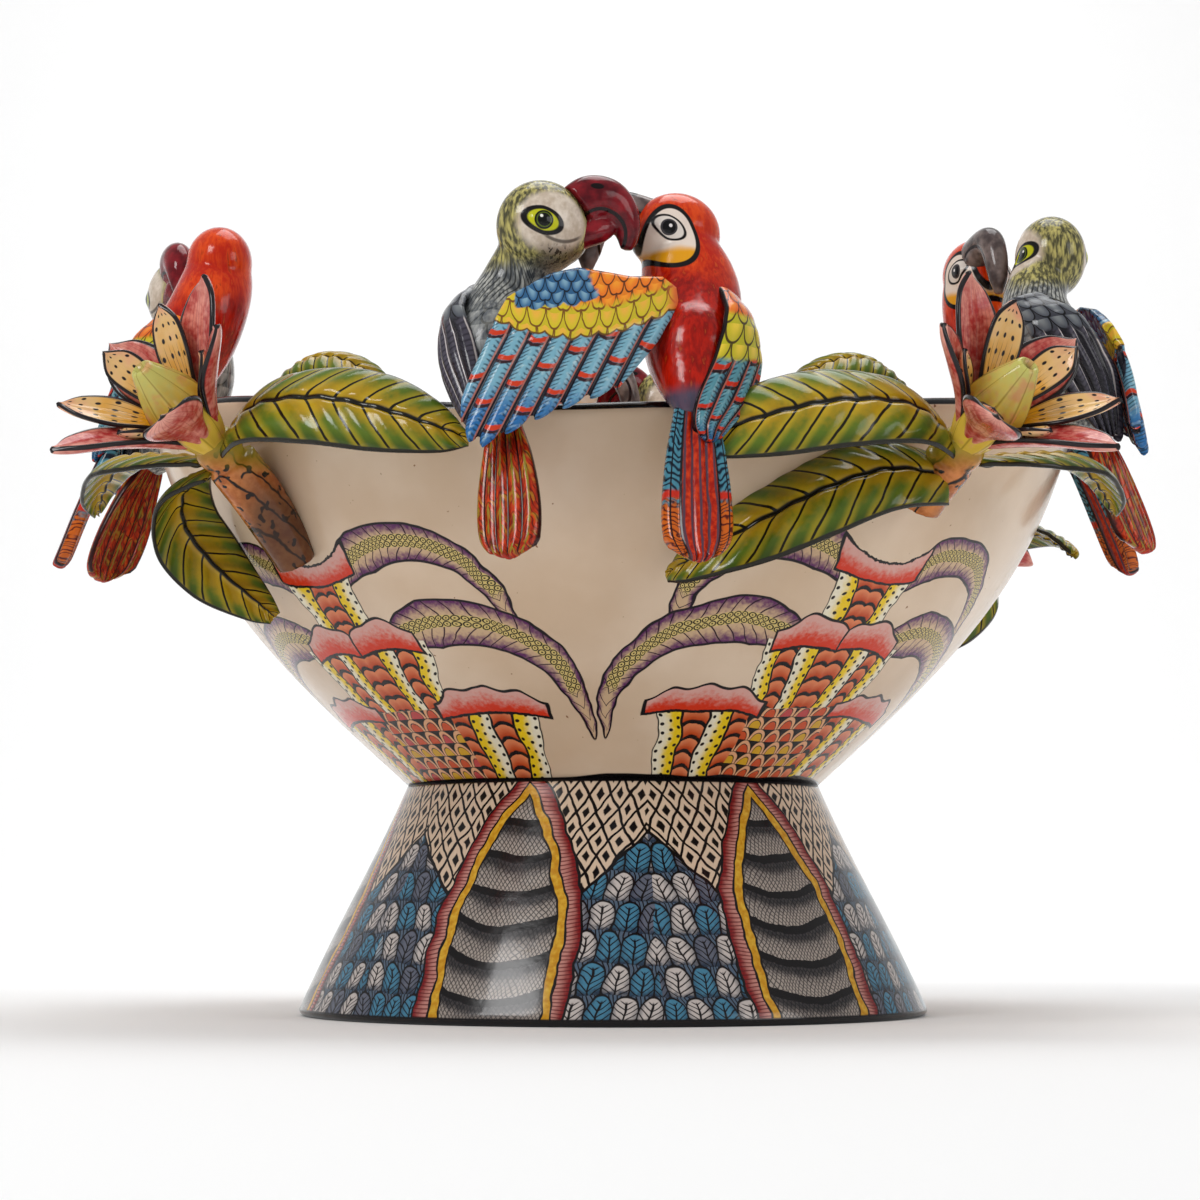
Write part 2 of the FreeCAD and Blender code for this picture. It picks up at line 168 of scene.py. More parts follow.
def ring_faces(rings, around, capped=False):
    """Faces between stacked rings of points, with the two ends closed if capped."""
    faces = []
    for r in range(rings - 1):
        for k in range(around):
            a, b = r * around + k, r * around + (k + 1) % around
            faces.append((a, b, b + around, a + around))
    if capped:
        faces += [list(range(around))[::-1], [(rings - 1) * around + k for k in range(around)]]
    return faces


def ball(centre, axes, half, around=32, rows=20):
    """Ellipsoid with its half sizes along three directions: points and faces."""
    polar, t = np.meshgrid(
        np.linspace(0, math.pi, rows + 1), np.linspace(0, 2 * math.pi, around, endpoint=False), indexing="ij"
    )
    round_ball = np.stack([np.sin(polar) * np.cos(t), np.sin(polar) * np.sin(t), np.cos(polar)], -1)
    points = (round_ball * np.asarray(half, float)) @ np.asarray(axes, float) + np.asarray(centre, float)
    return points.reshape(-1, 3), ring_faces(rows + 1, around)


def clay(name, parts, voxel=1.2, soften=6):
    """Parts merged into one skin by a voxel remesh and softened, as wet clay is worked together."""
    points, faces, start = [], [], 0
    for p, f in parts:
        points.append(p)
        faces += [tuple(i + start for i in face) for face in f]
        start += len(p)
    mesh = mesh_from(name + "_raw", np.concatenate(points), faces)
    lump = bpy.data.objects.new(name + "_raw", mesh)
    bpy.context.scene.collection.objects.link(lump)
    remesh = lump.modifiers.new("skin", "REMESH")
    remesh.mode = "VOXEL"
    remesh.voxel_size = voxel * MM
    soft = lump.modifiers.new("soft", "SMOOTH")
    soft.factor = 0.5
    soft.iterations = soften
    skin = bpy.data.meshes.new_from_object(lump.evaluated_get(bpy.context.evaluated_depsgraph_get()))
    bpy.data.objects.remove(lump)
    skin.polygons.foreach_set("use_smooth", [True] * len(skin.polygons))
    skin.name = name
    return skin


def piece(name, mesh, material, matrix, slot, *nodes):
    """A finished piece that rides on the one fired body and stands for its CAD nodes."""
    obj = bpy.data.objects.new(name, mesh)
    bpy.context.scene.collection.objects.link(obj)
    if not mesh.materials:
        mesh.materials.append(material)
    obj.matrix_world = matrix
    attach(obj, "root")
    if nodes:
        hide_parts(*nodes)
    return obj


# ---- paint: expressions that become shader nodes ----
def rgb(red, green, blue):
    """Linear colour from 0-255 screen values."""
    shares = [c / 255 for c in (red, green, blue)]
    return tuple(c / 12.92 if c <= 0.04 else ((c + 0.055) / 1.055) ** 2.4 for c in shares) + (1,)


BLACK = rgb(28, 24, 26)


class Val:
    """A number that varies over the surface."""

    def __init__(self, paint, socket):
        self.paint, self.socket = paint, socket

    def __add__(self, other):
        return self.paint.math("ADD", self, other)

    def __sub__(self, other):
        return self.paint.math("SUBTRACT", self, other)

    def __rsub__(self, other):
        return self.paint.math("SUBTRACT", other, self)

    def __mul__(self, other):
        return self.paint.math("MULTIPLY", self, other)

    def __truediv__(self, other):
        return self.paint.math("DIVIDE", self, other)

    def __rtruediv__(self, other):
        return self.paint.math("DIVIDE", other, self)

    def __pow__(self, other):
        return self.paint.math("POWER", self, other)

    def __abs__(self):
        return self.paint.math("ABSOLUTE", self)

    __radd__ = __add__
    __rmul__ = __mul__


class Paint:
    """One glaze being mixed: a material and the shorthand that writes its nodes."""

    def __init__(self, name):
        self.material = bpy.data.materials.new(name)
        self.material.use_nodes = True
        self.nodes, self.links = self.material.node_tree.nodes, self.material.node_tree.links
        self.nodes.clear()

    def put(self, value, socket):
        if isinstance(value, Val):
            self.links.new(value.socket, socket)
        else:
            socket.default_value = value

    def math(self, operation, *values):
        node = self.nodes.new("ShaderNodeMath")
        node.operation = operation
        for value, socket in zip(values, node.inputs):
            self.put(value, socket)
        return Val(self, node.outputs[0])

    def split(self, socket, scale):
        node = self.nodes.new("ShaderNodeSeparateXYZ")
        self.links.new(socket, node.inputs[0])
        return [Val(self, out) * scale for out in node.outputs]

    def place(self):
        """Object coordinates in millimetres."""
        return self.split(self.nodes.new("ShaderNodeTexCoord").outputs["Object"], 1000.0)

    def uv(self):
        return self.split(self.nodes.new("ShaderNodeTexCoord").outputs["UV"], 1.0)[:2]

    def vector(self, x, y, z=0.0):
        node = self.nodes.new("ShaderNodeCombineXYZ")
        for value, socket in zip((x, y, z), node.inputs):
            self.put(value, socket)
        return Val(self, node.outputs[0])

    def spot(self):
        """Object coordinates in millimetres, apart and as one vector."""
        x, y, z = self.place()
        return x, y, z, self.vector(x, y, z)

    def noise(self, where, period, detail=2.0):
        """Cloudy value round 0, about -0.5 to 0.5, with features one period across."""
        node = self.nodes.new("ShaderNodeTexNoise")
        self.put(where, node.inputs["Vector"])
        node.inputs["Scale"].default_value = 1.0 / period
        node.inputs["Detail"].default_value = detail
        return Val(self, node.outputs["Fac"]) - 0.5

    def cells(self, where):
        """One random value for each whole-numbered place."""
        node = self.nodes.new("ShaderNodeTexWhiteNoise")
        node.noise_dimensions = "3D"
        self.put(where, node.inputs["Vector"])
        return Val(self, node.outputs["Value"])

    def smooth(self, value, low, high):
        """0 below low, 1 above high."""
        node = self.nodes.new("ShaderNodeMapRange")
        node.interpolation_type = "SMOOTHSTEP"
        for v, name in ((value, "Value"), (low, "From Min"), (high, "From Max")):
            self.put(v, node.inputs[name])
        return Val(self, node.outputs["Result"])

    def under(self, value, limit, soft=0.1):
        return 1.0 - self.smooth(value, limit - soft, limit + soft)

    def line(self, value, centre, half, soft=0.12):
        """1 within half of centre."""
        return self.under(abs(value - centre), half, soft)

    def within(self, value, low, high, soft=0.1):
        return self.smooth(value, low - soft, low + soft) * self.under(value, high, soft)

    def fract(self, value):
        return self.math("FRACT", value)

    def floor(self, value):
        return self.math("FLOOR", value)

    def least(self, *values):
        low = values[0]
        for v in values[1:]:
            low = self.math("MINIMUM", low, v)
        return low

    def most(self, a, b):
        return self.math("MAXIMUM", a, b)

    def length(self, a, b):
        return self.math("SQRT", a * a + b * b)

    def mix(self, amount, below, above):
        """Colour above laid over colour below."""
        node = self.nodes.new("ShaderNodeMix")
        node.data_type = "RGBA"
        self.put(amount, node.inputs[0])
        self.put(below, node.inputs[6])
        self.put(above, node.inputs[7])
        return Val(self, node.outputs[2])

    def glaze(self, colour, height, roughness=0.16, bump=0.4, deepen=1.15):
        """Closes the material: shiny fired glaze over the painted colour, with a hand-worked surface."""
        where = Val(self, self.nodes.new("ShaderNodeTexCoord").outputs["Object"])
        cloud = self.noise(where, 9.0 * MM, 3.0)
        shader = self.nodes.new("ShaderNodeBsdfPrincipled")
        deeper = self.nodes.new("ShaderNodeGamma")
        self.put(colour, deeper.inputs["Color"])
        deeper.inputs["Gamma"].default_value = deepen
        self.links.new(deeper.outputs["Color"], shader.inputs["Base Color"])
        self.put(cloud * 0.12 + roughness, shader.inputs["Roughness"])
        shader.inputs["Coat Weight"].default_value = 0.2
        shader.inputs["Specular IOR Level"].default_value = 0.18
        shader.inputs["Coat Roughness"].default_value = 0.07
        lift = self.nodes.new("ShaderNodeBump")
        lift.inputs["Strength"].default_value = bump
        lift.inputs["Distance"].default_value = MM
        self.put(cloud * 0.6 + height, lift.inputs["Height"])
        self.links.new(lift.outputs["Normal"], shader.inputs["Normal"])
        out = self.nodes.new("ShaderNodeOutputMaterial")
        self.links.new(shader.outputs[0], out.inputs["Surface"])
        return self.material


# ---- the painted bowl ----
def wall_fit():
    """Outer radius of the bowl as a polynomial in height."""
    r, z = np.array(OUTER_WALL).T
    return np.polynomial.Polynomial.fit(z, r, 4)


def bowl_mesh(around=360, rise=60):
    """Turned wall, wavy rim and floor; UV u is below 0.9 outside, 1 at the lip, above 1.1 inside."""
    radius = wall_fit()
    points, uv = [], []
    for k in range(around):
        a = 2 * math.pi * k / around
        unevenness = 0.6 * math.sin(7 * a + 1.3) + 0.4 * math.sin(13 * a)
        top = rim_z(math.degrees(a)) + unevenness
        outline = []
        for t in np.linspace(0, 1, rise):
            z = WAIST_Z + (top - WALL / 2 - WAIST_Z) * t
            outline.append((radius(z), z, 0.9 * t))
        lip_r, lip_z = outline[-1][0] - WALL / 2, outline[-1][1]
        for t in np.linspace(0.12, 0.88, 9):
            angle = math.pi * t
            round_r, round_z = WALL / 2 * math.cos(angle), WALL / 2 * math.sin(angle)
            outline.append((lip_r + round_r, lip_z + round_z, 0.9 + 0.2 * t))
        floor_z = WAIST_Z + FLOOR_THICK
        for t in np.linspace(0, 1, rise // 2):
            z = lip_z + (floor_z + 2 - lip_z) * t
            outline.append((radius(z) - WALL - 8 * t**8, z, 1.1 + 0.6 * t))
        for t in (0.2, 0.4, 0.6, 0.8, 0.99):
            outline.append((outline[-1][0] * (1 - t * 0.55), floor_z + 1.5 * (1 - t), 1.8 + 0.2 * t))
        points += [(r * math.sin(a), -r * math.cos(a), z) for r, z, _ in outline]
        uv += [(s, k / around) for _, _, s in outline]
    n = len(outline)
    faces = []
    for k in range(around):
        m = (k + 1) % around
        faces += [(k * n + i, m * n + i, m * n + i + 1, k * n + i + 1) for i in range(n - 1)]
    faces.append([k * n + n - 1 for k in range(around)])
    faces.append([k * n for k in range(around)][::-1])
    return mesh_from("bowl", points, faces, uv)


def stalks(p, across, z, jitter):
    """Painted bundle of stalks: odd ones ringed orange, even ones dotted yellow; across counts them."""
    share = p.fract(across)
    odd = p.under(p.fract(across * 0.5), 0.5, 0.01)
    hump = 1.0 - (share * 2.0 - 1.0) ** 2
    ring = p.fract((z - hump * 2.4 + jitter * 3) / 6.4)
    orange = p.mix(p.smooth(ring, 0.25, 1.0), rgb(196, 84, 40), rgb(224, 142, 100))
    orange = p.mix(p.under(ring, 0.26, 0.05), orange, BLACK)
    yellow = p.mix(p.smooth(share + jitter, 0.3, 0.75), rgb(236, 204, 40), rgb(236, 228, 206))
    column = p.fract(share * 3.0 + 0.02)
    row = p.fract(z / 3.9 + p.floor(share * 3.0) * 0.37)
    dot = p.length(column - 0.5, (row - 0.5) * 1.25)
    yellow = p.mix(p.under(dot, 0.23, 0.05), yellow, BLACK)
    colour = p.mix(odd, yellow, orange)
    return p.mix(p.smooth(abs(share - 0.5), 0.43, 0.46), colour, BLACK)


def cap(p, colour, offset, z, low, high, jitter):
    """Pink-topped orange cap painted between two heights; offset is -1 to 1 across it."""
    part = (z - low) / (high - low)
    fill = p.mix(p.smooth(part + jitter, 0.15, 0.85), rgb(214, 66, 36), rgb(218, 172, 162))
    inside = p.within(z, low, high, 0.2) * p.under(abs(offset), 1.0, 0.015)
    edge = p.least(abs(z - low), abs(z - high))
    rim = p.under(edge, 0.55, 0.15) * p.under(abs(offset), 1.03, 0.01)
    side = p.within(z, low, high, 0.2) * p.line(abs(offset), 1.0, 0.035, 0.01)
    return p.mix(p.most(rim, side), p.mix(inside, colour, fill), BLACK)


def fern(p, colour, c, z, centre, half, root, tip, width, jitter):
    """Arched fern leaf painted along part of an ellipse: purple edges, thin veins, a beaded band."""
    dx, dz = (c - centre[0]) / half[0], (z - centre[1]) / half[1]
    turn = p.math("ARCTAN2", dz, dx)
    t = (root - turn) / (root - tip)
    reach = (p.length(dx, dz) - 1.0) * (0.6 * half[1] + 0.4 * half[0] * 2.8)
    w = p.most(1.0 - t, 0.0) ** 0.62 * p.least(t * 3.2 + 0.35, 1.0) * width
    side = reach / p.most(w, 0.2)
    e = abs(side)
    run = t * ((root - tip) * 52.0)
    inside = p.under(abs(reach) - w, 0.0, 0.2) * p.within(t, 0.0, 1.0, 0.005)
    fill = p.mix(p.smooth(e + jitter * 0.8, 0.3, 1.0), rgb(208, 180, 148), rgb(104, 50, 104))
    vein = p.line(p.fract(run / 5.6 + e * 1.1), 0.5, 0.055, 0.03)
    fill = p.mix(vein, fill, rgb(56, 32, 54))
    column, row = p.fract(run / 3.0) - 0.5, p.fract((reach + 2.0) / 2.7) - 0.5
    bead = p.length(column, row)
    beads = p.mix(p.line(bead, 0.40, 0.08, 0.04), rgb(214, 194, 130), rgb(40, 32, 24))
    beads = p.mix(p.under(bead, 0.12, 0.04), beads, rgb(70, 56, 30))
    fill = p.mix(p.within(reach, -2.0, 3.4, 0.1) * p.under(t, 0.8, 0.02), fill, beads)
    colour = p.mix(inside, colour, fill)
    outline = p.under(abs(abs(reach) - w), 0.5, 0.15) * p.within(t, -0.01, 1.0, 0.005)
    return p.mix(outline, colour, rgb(34, 20, 34))


# Motif under each spray: places in degrees from its middle line and heights in mm
STALKS = ((176, 206, 0.0, 7.0, 2), (144, 173, 0.0, 14.6, 4), (110, 144, 10.2, 30.5, 4))
CAPS = ((21.0, 12.2, 142.0, 152.5), (6.6, 6.6, 170.0, 182.5))
SCALE_TURN, SCALE_HEIGHT = 4.2, 5.4


def bowl_paint():
    p = Paint("bowl_glaze")
    x, y, z, here = p.spot()
    u, _ = p.uv()
    wander, fine = p.noise(here, 22.0), p.noise(here, 2.2, 3.0)
    diagonal = (x + y + z) / 3.0
    z = z + p.noise(p.vector(diagonal, diagonal, diagonal), 31.0) * 7.0
    a = p.math("ARCTAN2", x, y * -1.0) * DEG + wander * 3.6
    c = p.least(*(abs(a - azimuth) for azimuth in MOTIFS))
    ground = p.mix(p.smooth(p.noise(here, 60.0, 4.0), -0.2, 0.2), rgb(214, 190, 164), rgb(226, 206, 184))
    ground = p.mix(p.smooth(p.noise(here, 3.2, 1.0), 0.27, 0.32), ground, rgb(150, 112, 84))
    painted = fern(p, ground, c, z, (16.0, 172.0), (14.5, 42.0), 2.5, -0.05, 10.5, fine)
    painted = fern(p, painted, c, z, (20.0, 130.0), (21.3, 50.0), 2.15, -0.02, 12.5, fine)
    for low, high, start, stop, count in STALKS:
        lean = (high - z) * 0.035
        across = (c + lean - start) * (count / (stop - start))
        bundle = p.within(z, low, high, 0.2) * p.within(across, 0.0, float(count), 0.03)
        painted = p.mix(bundle, painted, stalks(p, across, z, fine * 0.3))
    row = z / SCALE_HEIGHT
    column = c / SCALE_TURN + p.floor(row) * 0.5
    bead = p.length((p.fract(column) * 2.0 - 1.0) * 0.96, p.fract(row) * 0.96)
    tone = p.cells(p.vector(p.floor(column), p.floor(row), p.floor(a / 90.0)))
    scale = p.mix(p.smooth(tone, 0.45, 0.5), rgb(206, 92, 52), rgb(196, 84, 84))
    scale = p.mix(p.smooth(tone, 0.78, 0.8), scale, rgb(214, 170, 50))
    scale = p.mix(p.smooth(bead + fine * 0.3, 0.55, 0.72), scale, rgb(226, 176, 138))
    scale = p.mix(p.most(p.smooth(bead, 0.88, 0.95), p.line(bead, 0.62, 0.035, 0.02)), scale, BLACK)
    painted = p.mix(p.within(z, 110.0, 144.0, 0.3) * p.under(c, 11.0, 0.1), painted, scale)
    for middle, half, low, high in CAPS:
        k = (c - middle) / half
        top = high - k**2 * 6.5 + p.math("SINE", c * 0.9 + 1.0) * 0.9 + wander * 3.0
        painted = cap(p, painted, k, z, low - k**2 * 2.5 + fine, top, fine * 0.9)
    k = c / 7.8
    painted = cap(p, painted, k, z, 198.0 + k**2 * 4.0 + fine, 207.0 + k**2 * 9.0 + fine * 2.0, fine * 0.9)
    painted = p.mix(p.under(z, 113.8, 0.3), painted, BLACK)
    colour = p.mix(p.smooth(u, 0.9, 0.91), painted, ground)
    colour = p.mix(p.within(u, 0.915, 0.985, 0.004), colour, BLACK)
    return p.glaze(colour, p.noise(here, 45.0, 2.0) * 1.2, roughness=0.2, bump=0.3)


# ---- the painted foot ----
def foot_mesh(around=240, rise=40):
    """Hollow cone with a softly rounded edge."""
    outline = []
    for t in np.linspace(0, 1, 6):
        angle = math.pi / 2 * (t - 1)
        round_r, round_z = FOOT_ROUND * math.cos(angle), FOOT_ROUND * math.sin(angle)
        outline.append((FOOT_RADIUS - FOOT_ROUND + round_r, FOOT_ROUND + round_z))
    for t in np.linspace(0.03, 1, rise):
        flare = FOOT_FLARE * math.sin(math.pi * t) * (1 - 2 * t)
        cone = FOOT_RADIUS + (WAIST_RADIUS - FOOT_RADIUS) * t
        outline.append((cone + flare, FOOT_ROUND + (WAIST_Z - FOOT_ROUND) * t))
    outline.append((FOOT_TOP_INNER - 0.1, WAIST_Z))
    for t in np.linspace(0, 1, 12):
        cone = FOOT_TOP_INNER + (FOOT_INNER - FOOT_TOP_INNER) * t
        outline.append((cone, WAIST_Z - FOOT_ROOF - (WAIST_Z - 2 * FOOT_ROOF) * t))
    outline.append((FOOT_INNER + 2.5, 1.0))
    outline.append((FOOT_INNER + 4.0, 0.0))
    points = []
    for k in range(around):
        a = 2 * math.pi * k / around
        points += [(r * math.sin(a), -r * math.cos(a), z) for r, z in outline]
    n = len(outline)
    faces = []
    for k in range(around):
        m = (k + 1) % around
        faces += [(k * n + i, m * n + i, m * n + (i + 1) % n, k * n + (i + 1) % n) for i in range(n)]
    return mesh_from("foot", points, faces)


def hatch(p, x, y, pitch, half, tilt):
    """Thin parallel pen strokes."""
    return p.line(p.fract((x + y * tilt) / pitch), 0.5, half, 0.08)


# Pattern pitches on the foot
FEATHER_ROW, FEATHER_COLUMN, TIER = 13.8, 11.4, 16.2
LATTICE_WIDE, LATTICE_HIGH = 9.6, 15.0


def foot_paint():
    p = Paint("foot_glaze")
    x, y, z0, here = p.spot()
    wander, fine = p.noise(here, 18.0), p.noise(here, 2.5, 3.0)
    a = p.math("ARCTAN2", x, y * -1.0) * DEG + wander * 3.6
    z = z0 + p.noise(here, 25.0, 1.0) * 6.0
    r = p.length(x, y)
    turn = p.fract((a + ARCH_START) / ARCHES) * ARCHES - ARCHES / 2
    s = turn * r / DEG
    half = 38.0 - 38.0 * (p.most(z - 28.0, 0.0) / 92.0) ** 2.1
    depth = half - abs(s)
    # scale feathers between the arches
    row = z / FEATHER_ROW
    column = s / FEATHER_COLUMN + p.floor(row) * 0.5
    fx, fy = p.fract(column) * 2.0 - 1.0, p.fract(row)
    tone = p.cells(p.vector(p.floor(column), p.floor(row), p.floor((a + ARCH_START) / ARCHES)))
    fill = p.mix(p.smooth(tone, 0.4, 0.42), rgb(82, 136, 162), rgb(198, 190, 186))
    fill = p.mix(p.smooth(tone, 0.76, 0.78), fill, rgb(108, 112, 126))
    fill = p.mix(p.under(fy + fine * 0.5, 0.12, 0.16), fill, rgb(52, 66, 84))
    fill = p.mix(p.smooth(abs(fx) + fine * 0.6, 0.4, 1.0) * 0.5, fill, rgb(40, 54, 74))
    barbs = p.line(p.fract(fy * 5.0 - abs(fx) * 1.7), 0.5, 0.12, 0.08) * p.under(fy, 0.82, 0.05)
    fill = p.mix(p.most(barbs, p.under(abs(fx), 0.08, 0.03) * p.under(fy, 0.78, 0.05)), fill, BLACK)
    dome = p.length(fx * 0.98, p.most(fy - 0.42, 0.0) * 1.75)
    behind = p.mix(hatch(p, s, z, 1.9, 0.16, 0.25), rgb(92, 108, 126), BLACK)
    feathers = p.mix(p.smooth(dome, 0.87, 0.94), fill, p.mix(p.smooth(dome, 1.02, 1.06), BLACK, behind))
    # lattice above them, down to points along the arches' shoulders
    du, dv = s / LATTICE_WIDE + z / LATTICE_HIGH, s / LATTICE_WIDE - z / LATTICE_HIGH
    ring = p.most(abs(p.fract(du) - 0.5), abs(p.fract(dv) - 0.5))
    lattice = p.mix(p.smooth(ring + fine * 0.05, 0.41, 0.44), rgb(214, 192, 170), BLACK)
    lattice = p.mix(p.under(ring + fine * 0.1, 0.19, 0.03), lattice, BLACK)
    border = 88.0 - (ARCHES / 2 - abs(turn)) * 2.0
    colour = p.mix(p.smooth(z, border - 0.4, border + 0.4), feathers, lattice)
    colour = p.mix(p.line(z, border, 0.9, 0.2), colour, BLACK)
    # grey tiers inside the arches
    sag = z - s * s * 0.009
    tier = p.fract((sag + 4.0) / TIER + fine * 0.08)
    cross = p.most(hatch(p, s, z, 2.1, 0.13, 0.75), hatch(p, s, z, 2.3, 0.12, -0.7))
    grey = p.mix(p.smooth(tier + fine * 0.5, 0.1, 0.95), rgb(176, 166, 158), rgb(84, 80, 84))
    grey = p.mix(cross * 0.8, grey, rgb(30, 28, 32))
    grey = p.mix(p.within(tier, 0.55, 0.8, 0.12) * 0.7, grey, rgb(30, 30, 34))
    grey = p.mix(p.smooth(tier, 0.76, 0.8) * p.under(abs(s), 30.0, 1.0), grey, BLACK)
    # the arch's yellow and maroon bands
    red = p.mix(p.smooth(depth + fine * 3, 1.0, 6.5), rgb(134, 26, 30), rgb(196, 142, 132))
    red = p.mix(p.line(p.fract(z / 1.7), 0.5, 0.15, 0.08) * 0.8, red, rgb(96, 26, 34))
    yellow = p.mix(p.smooth(fine, -0.2, 0.3), rgb(196, 142, 26), rgb(222, 184, 70))
    arch = p.mix(p.smooth(depth, 7.2, 7.5), red, yellow)
    arch = p.mix(p.smooth(depth, 12.3, 12.6), arch, grey)
    arch = p.mix(p.most(p.line(depth, 7.6, 0.55), p.line(depth, 12.6, 0.5)), arch, BLACK)
    colour = p.mix(p.smooth(depth, 0.0, 0.3), colour, arch)
    colour = p.mix(p.line(depth, 0.2, 0.6), colour, BLACK)
    colour = p.mix(p.most(p.under(z0, 3.6, 0.5), p.smooth(z0, 110.6, 111.2)), colour, BLACK)
    bare = p.under(r - (FOOT_RADIUS - z0 * 0.485), -3.0, 0.3)
    colour = p.mix(bare, colour, p.mix(p.smooth(fine, -0.2, 0.2), rgb(196, 160, 126), rgb(210, 178, 146)))
    return p.glaze(colour, p.noise(here, 30.0, 2.0) * 1.2, roughness=0.18, bump=0.3)


# ---- parrots, in the pair's own frame: x along the rim, y inwards, z up from the rim's low level ----
GREY_YAW, RED_YAW, KISS_YAW = math.radians(38), math.radians(15), math.radians(20)
GREY_SIDE = np.array((math.cos(GREY_YAW), -math.sin(GREY_YAW), 0))
GREY_BACK = np.array((-math.sin(GREY_YAW), -math.cos(GREY_YAW), 0))
RED_SIDE = np.array((math.cos(RED_YAW), math.sin(RED_YAW), 0))
RED_BACK = np.array((math.sin(RED_YAW), -math.cos(RED_YAW), 0))
GREY_HEADING = np.array((math.cos(KISS_YAW), math.sin(KISS_YAW), 0))
RED_HEADING = -GREY_HEADING
UP = np.array((0.0, 0.0, 1.0))
GREY_HEAD, RED_HEAD = np.array((-31.7, 0, 76.0)), np.array((27.3, 33, 80.6))
# Spines from tail root to head: (centre, half width, half depth)
GREY_SPINE = [
    ((-47, -19, -13), 7, 5), ((-48, -12, 0), 15, 13), ((-50, -2, 18), 20, 20),
    ((-48, 7, 37), 19.5, 19), ((-43, 9, 52), 15.5, 16), ((-36, 5, 66), 14, 15),
]
RED_SPINE = [
    ((34, -16, -10), 7, 5), ((34, -8, 3), 14, 13), ((33, 6, 20), 19.5, 20),
    ((33, 20, 38), 22, 21), ((33.5, 28, 53), 22, 20), ((30, 32, 68), 19, 18.5),
]
# Eyes, measured from the head's centre: (ahead, up)
GREY_EYE, RED_EYE = (-4.5, -0.6), (9.0, -0.6)
RED_PATCH = (8.4, -4.6)
# Wings: (edge, other edge, bulge)
RAISED_WING = [
    ((27, 2, 52), (27, -2, 31), 2), ((8, -9, 53), (11, -16, 10), 4), ((-14, -17, 55), (2, -27, -4), 5),
    ((-30, -21, 51), (-14, -36, -12), 7), ((-43, -26, 43), (-34, -43, -22), 7),
    ((-51, -31, 31), (-54, -44, -27), 5), ((-56, -32, 18), (-63, -38, -17), 3),
]
GREY_NEAR_WING = [
    ((-55, 24, 51), (-61, 8, 54), 1.5), ((-70, 17, 36), (-66, -12, 41), 5), ((-74, 8, 16), (-60, -24, 20), 7),
    ((-70, -5, -1), (-57, -29, 2), 4), ((-60, -20, -19), (-55, -30, -18), 1),
]
GREY_FAR_WING = [
    ((-26, 2, 48), (-35, -8, 50), 1.5), ((-30, -10, 36), (-44, -17, 40), 4),
    ((-34.7, -17, 16), (-51, -28, 20), 4),
    ((-36, -24, -1), (-50, -31, 2), 3), ((-44, -29, -19), (-50, -32, -18), 1),
]
RED_FOLDED = [
    ((50, 28, 53), (46, 8, 53), 1.5), ((60, 20, 38), (48, -7, 38), 4), ((64, 10, 18), (42, -18, 16), 4.5),
    ((60, -4, 0), (34.5, -25, -2), 4), ((50, -17, -14), (33, -28, -14), 2.5),
    ((43, -23, -22), (37, -28, -22), 1),
]
# Tails: (middle, half width)
GREY_TAIL = [
    ((-47, -17, -8), 8), ((-46.5, -25, -24), 13), ((-46, -33, -46), 17),
    ((-45.5, -39, -63), 16), ((-45, -42, -72), 9),
]
RED_TAIL = [
    ((34, -14, -4), 10), ((34.2, -24, -22), 13.5), ((34.4, -34, -45), 16),
    ((34.6, -41, -63), 15.5), ((34.8, -45, -73), 9),
]
# Beaks, from the head's centre: (ahead, up, half width, half height)
UPPER_MANDIBLE = [
    (15, 9, 7.5, 10.5), (21, 13, 8.5, 10.5), (29, 13, 8, 9.5),
    (35, 7, 7, 8), (37.5, -1, 5, 5.5), (37, -8, 2, 2.6),
]
LOWER_MANDIBLE = [(13, -5, 6, 6), (18, -3, 6, 6), (25, 0, 5.5, 6), (30, 1, 4, 4)]
RED_MANDIBLE = [
    (12, 7, 8, 10), (24, 11, 7, 8), (32, 9, 6.5, 7.5),
    (37, 0, 6, 6.5), (39.5, -10, 4.5, 5.5), (40, -18, 2, 2.4),
]
BEAK_OFFSET = 5.0
WING_THICK, TAIL_THICK = 5.0, 6.0
GREY_HEAD_HALF, RED_HEAD_HALF = (20, 17, 20.5), (20, 16.5, 18.5)
CHEEK = (0.72, 0.86, 0.72)
EYE_HALF, EYE_DEPTH = (6.0, 4.4, 5.2), 3.2


def bird_mesh(name, spine, side, head, heading, head_half, eye, back):
    """Torso, neck and head worked into one form, with the back filled out and cheeks and eyes raised a
    little.
    """
    lateral = np.array((-heading[1], heading[0], 0))
    axes = (heading, lateral, UP)
    neck = [*spine, (tuple(head), head_half[1] * 0.8, head_half[0] * 0.8)]
    parts = [tube(neck, side), ball(head, axes, head_half)]
    parts.append(ball(head + heading * 7 - UP * 2, axes, [h * share for h, share in zip(head_half, CHEEK)]))
    parts.append(ball(np.array(spine[2][0]) + back * 3, (side, back, UP), (17, 17, 24)))
    beyond = 1 - (eye[0] / head_half[0]) ** 2 - (eye[1] / head_half[2]) ** 2
    surface = math.sqrt(max(0.0, beyond)) * head_half[1]
    for flank in (-1, 1):
        at = head + heading * eye[0] + UP * eye[1] + lateral * flank * (surface - EYE_DEPTH)
        parts.append(ball(at, axes, EYE_HALF, 20, 12))
    return clay(name, parts, voxel=1.1, soften=14)


def beak_mesh(name, root, heading, *halves):
    lateral = np.array((-heading[1], heading[0], 0))
    parts = []
    for stations in halves:
        spine = [(root + heading * d + UP * z, w, h) for d, z, w, h in stations]
        parts.append(tube(spine, lateral, 30, 24))
    return clay(name, parts, voxel=0.8, soften=4)


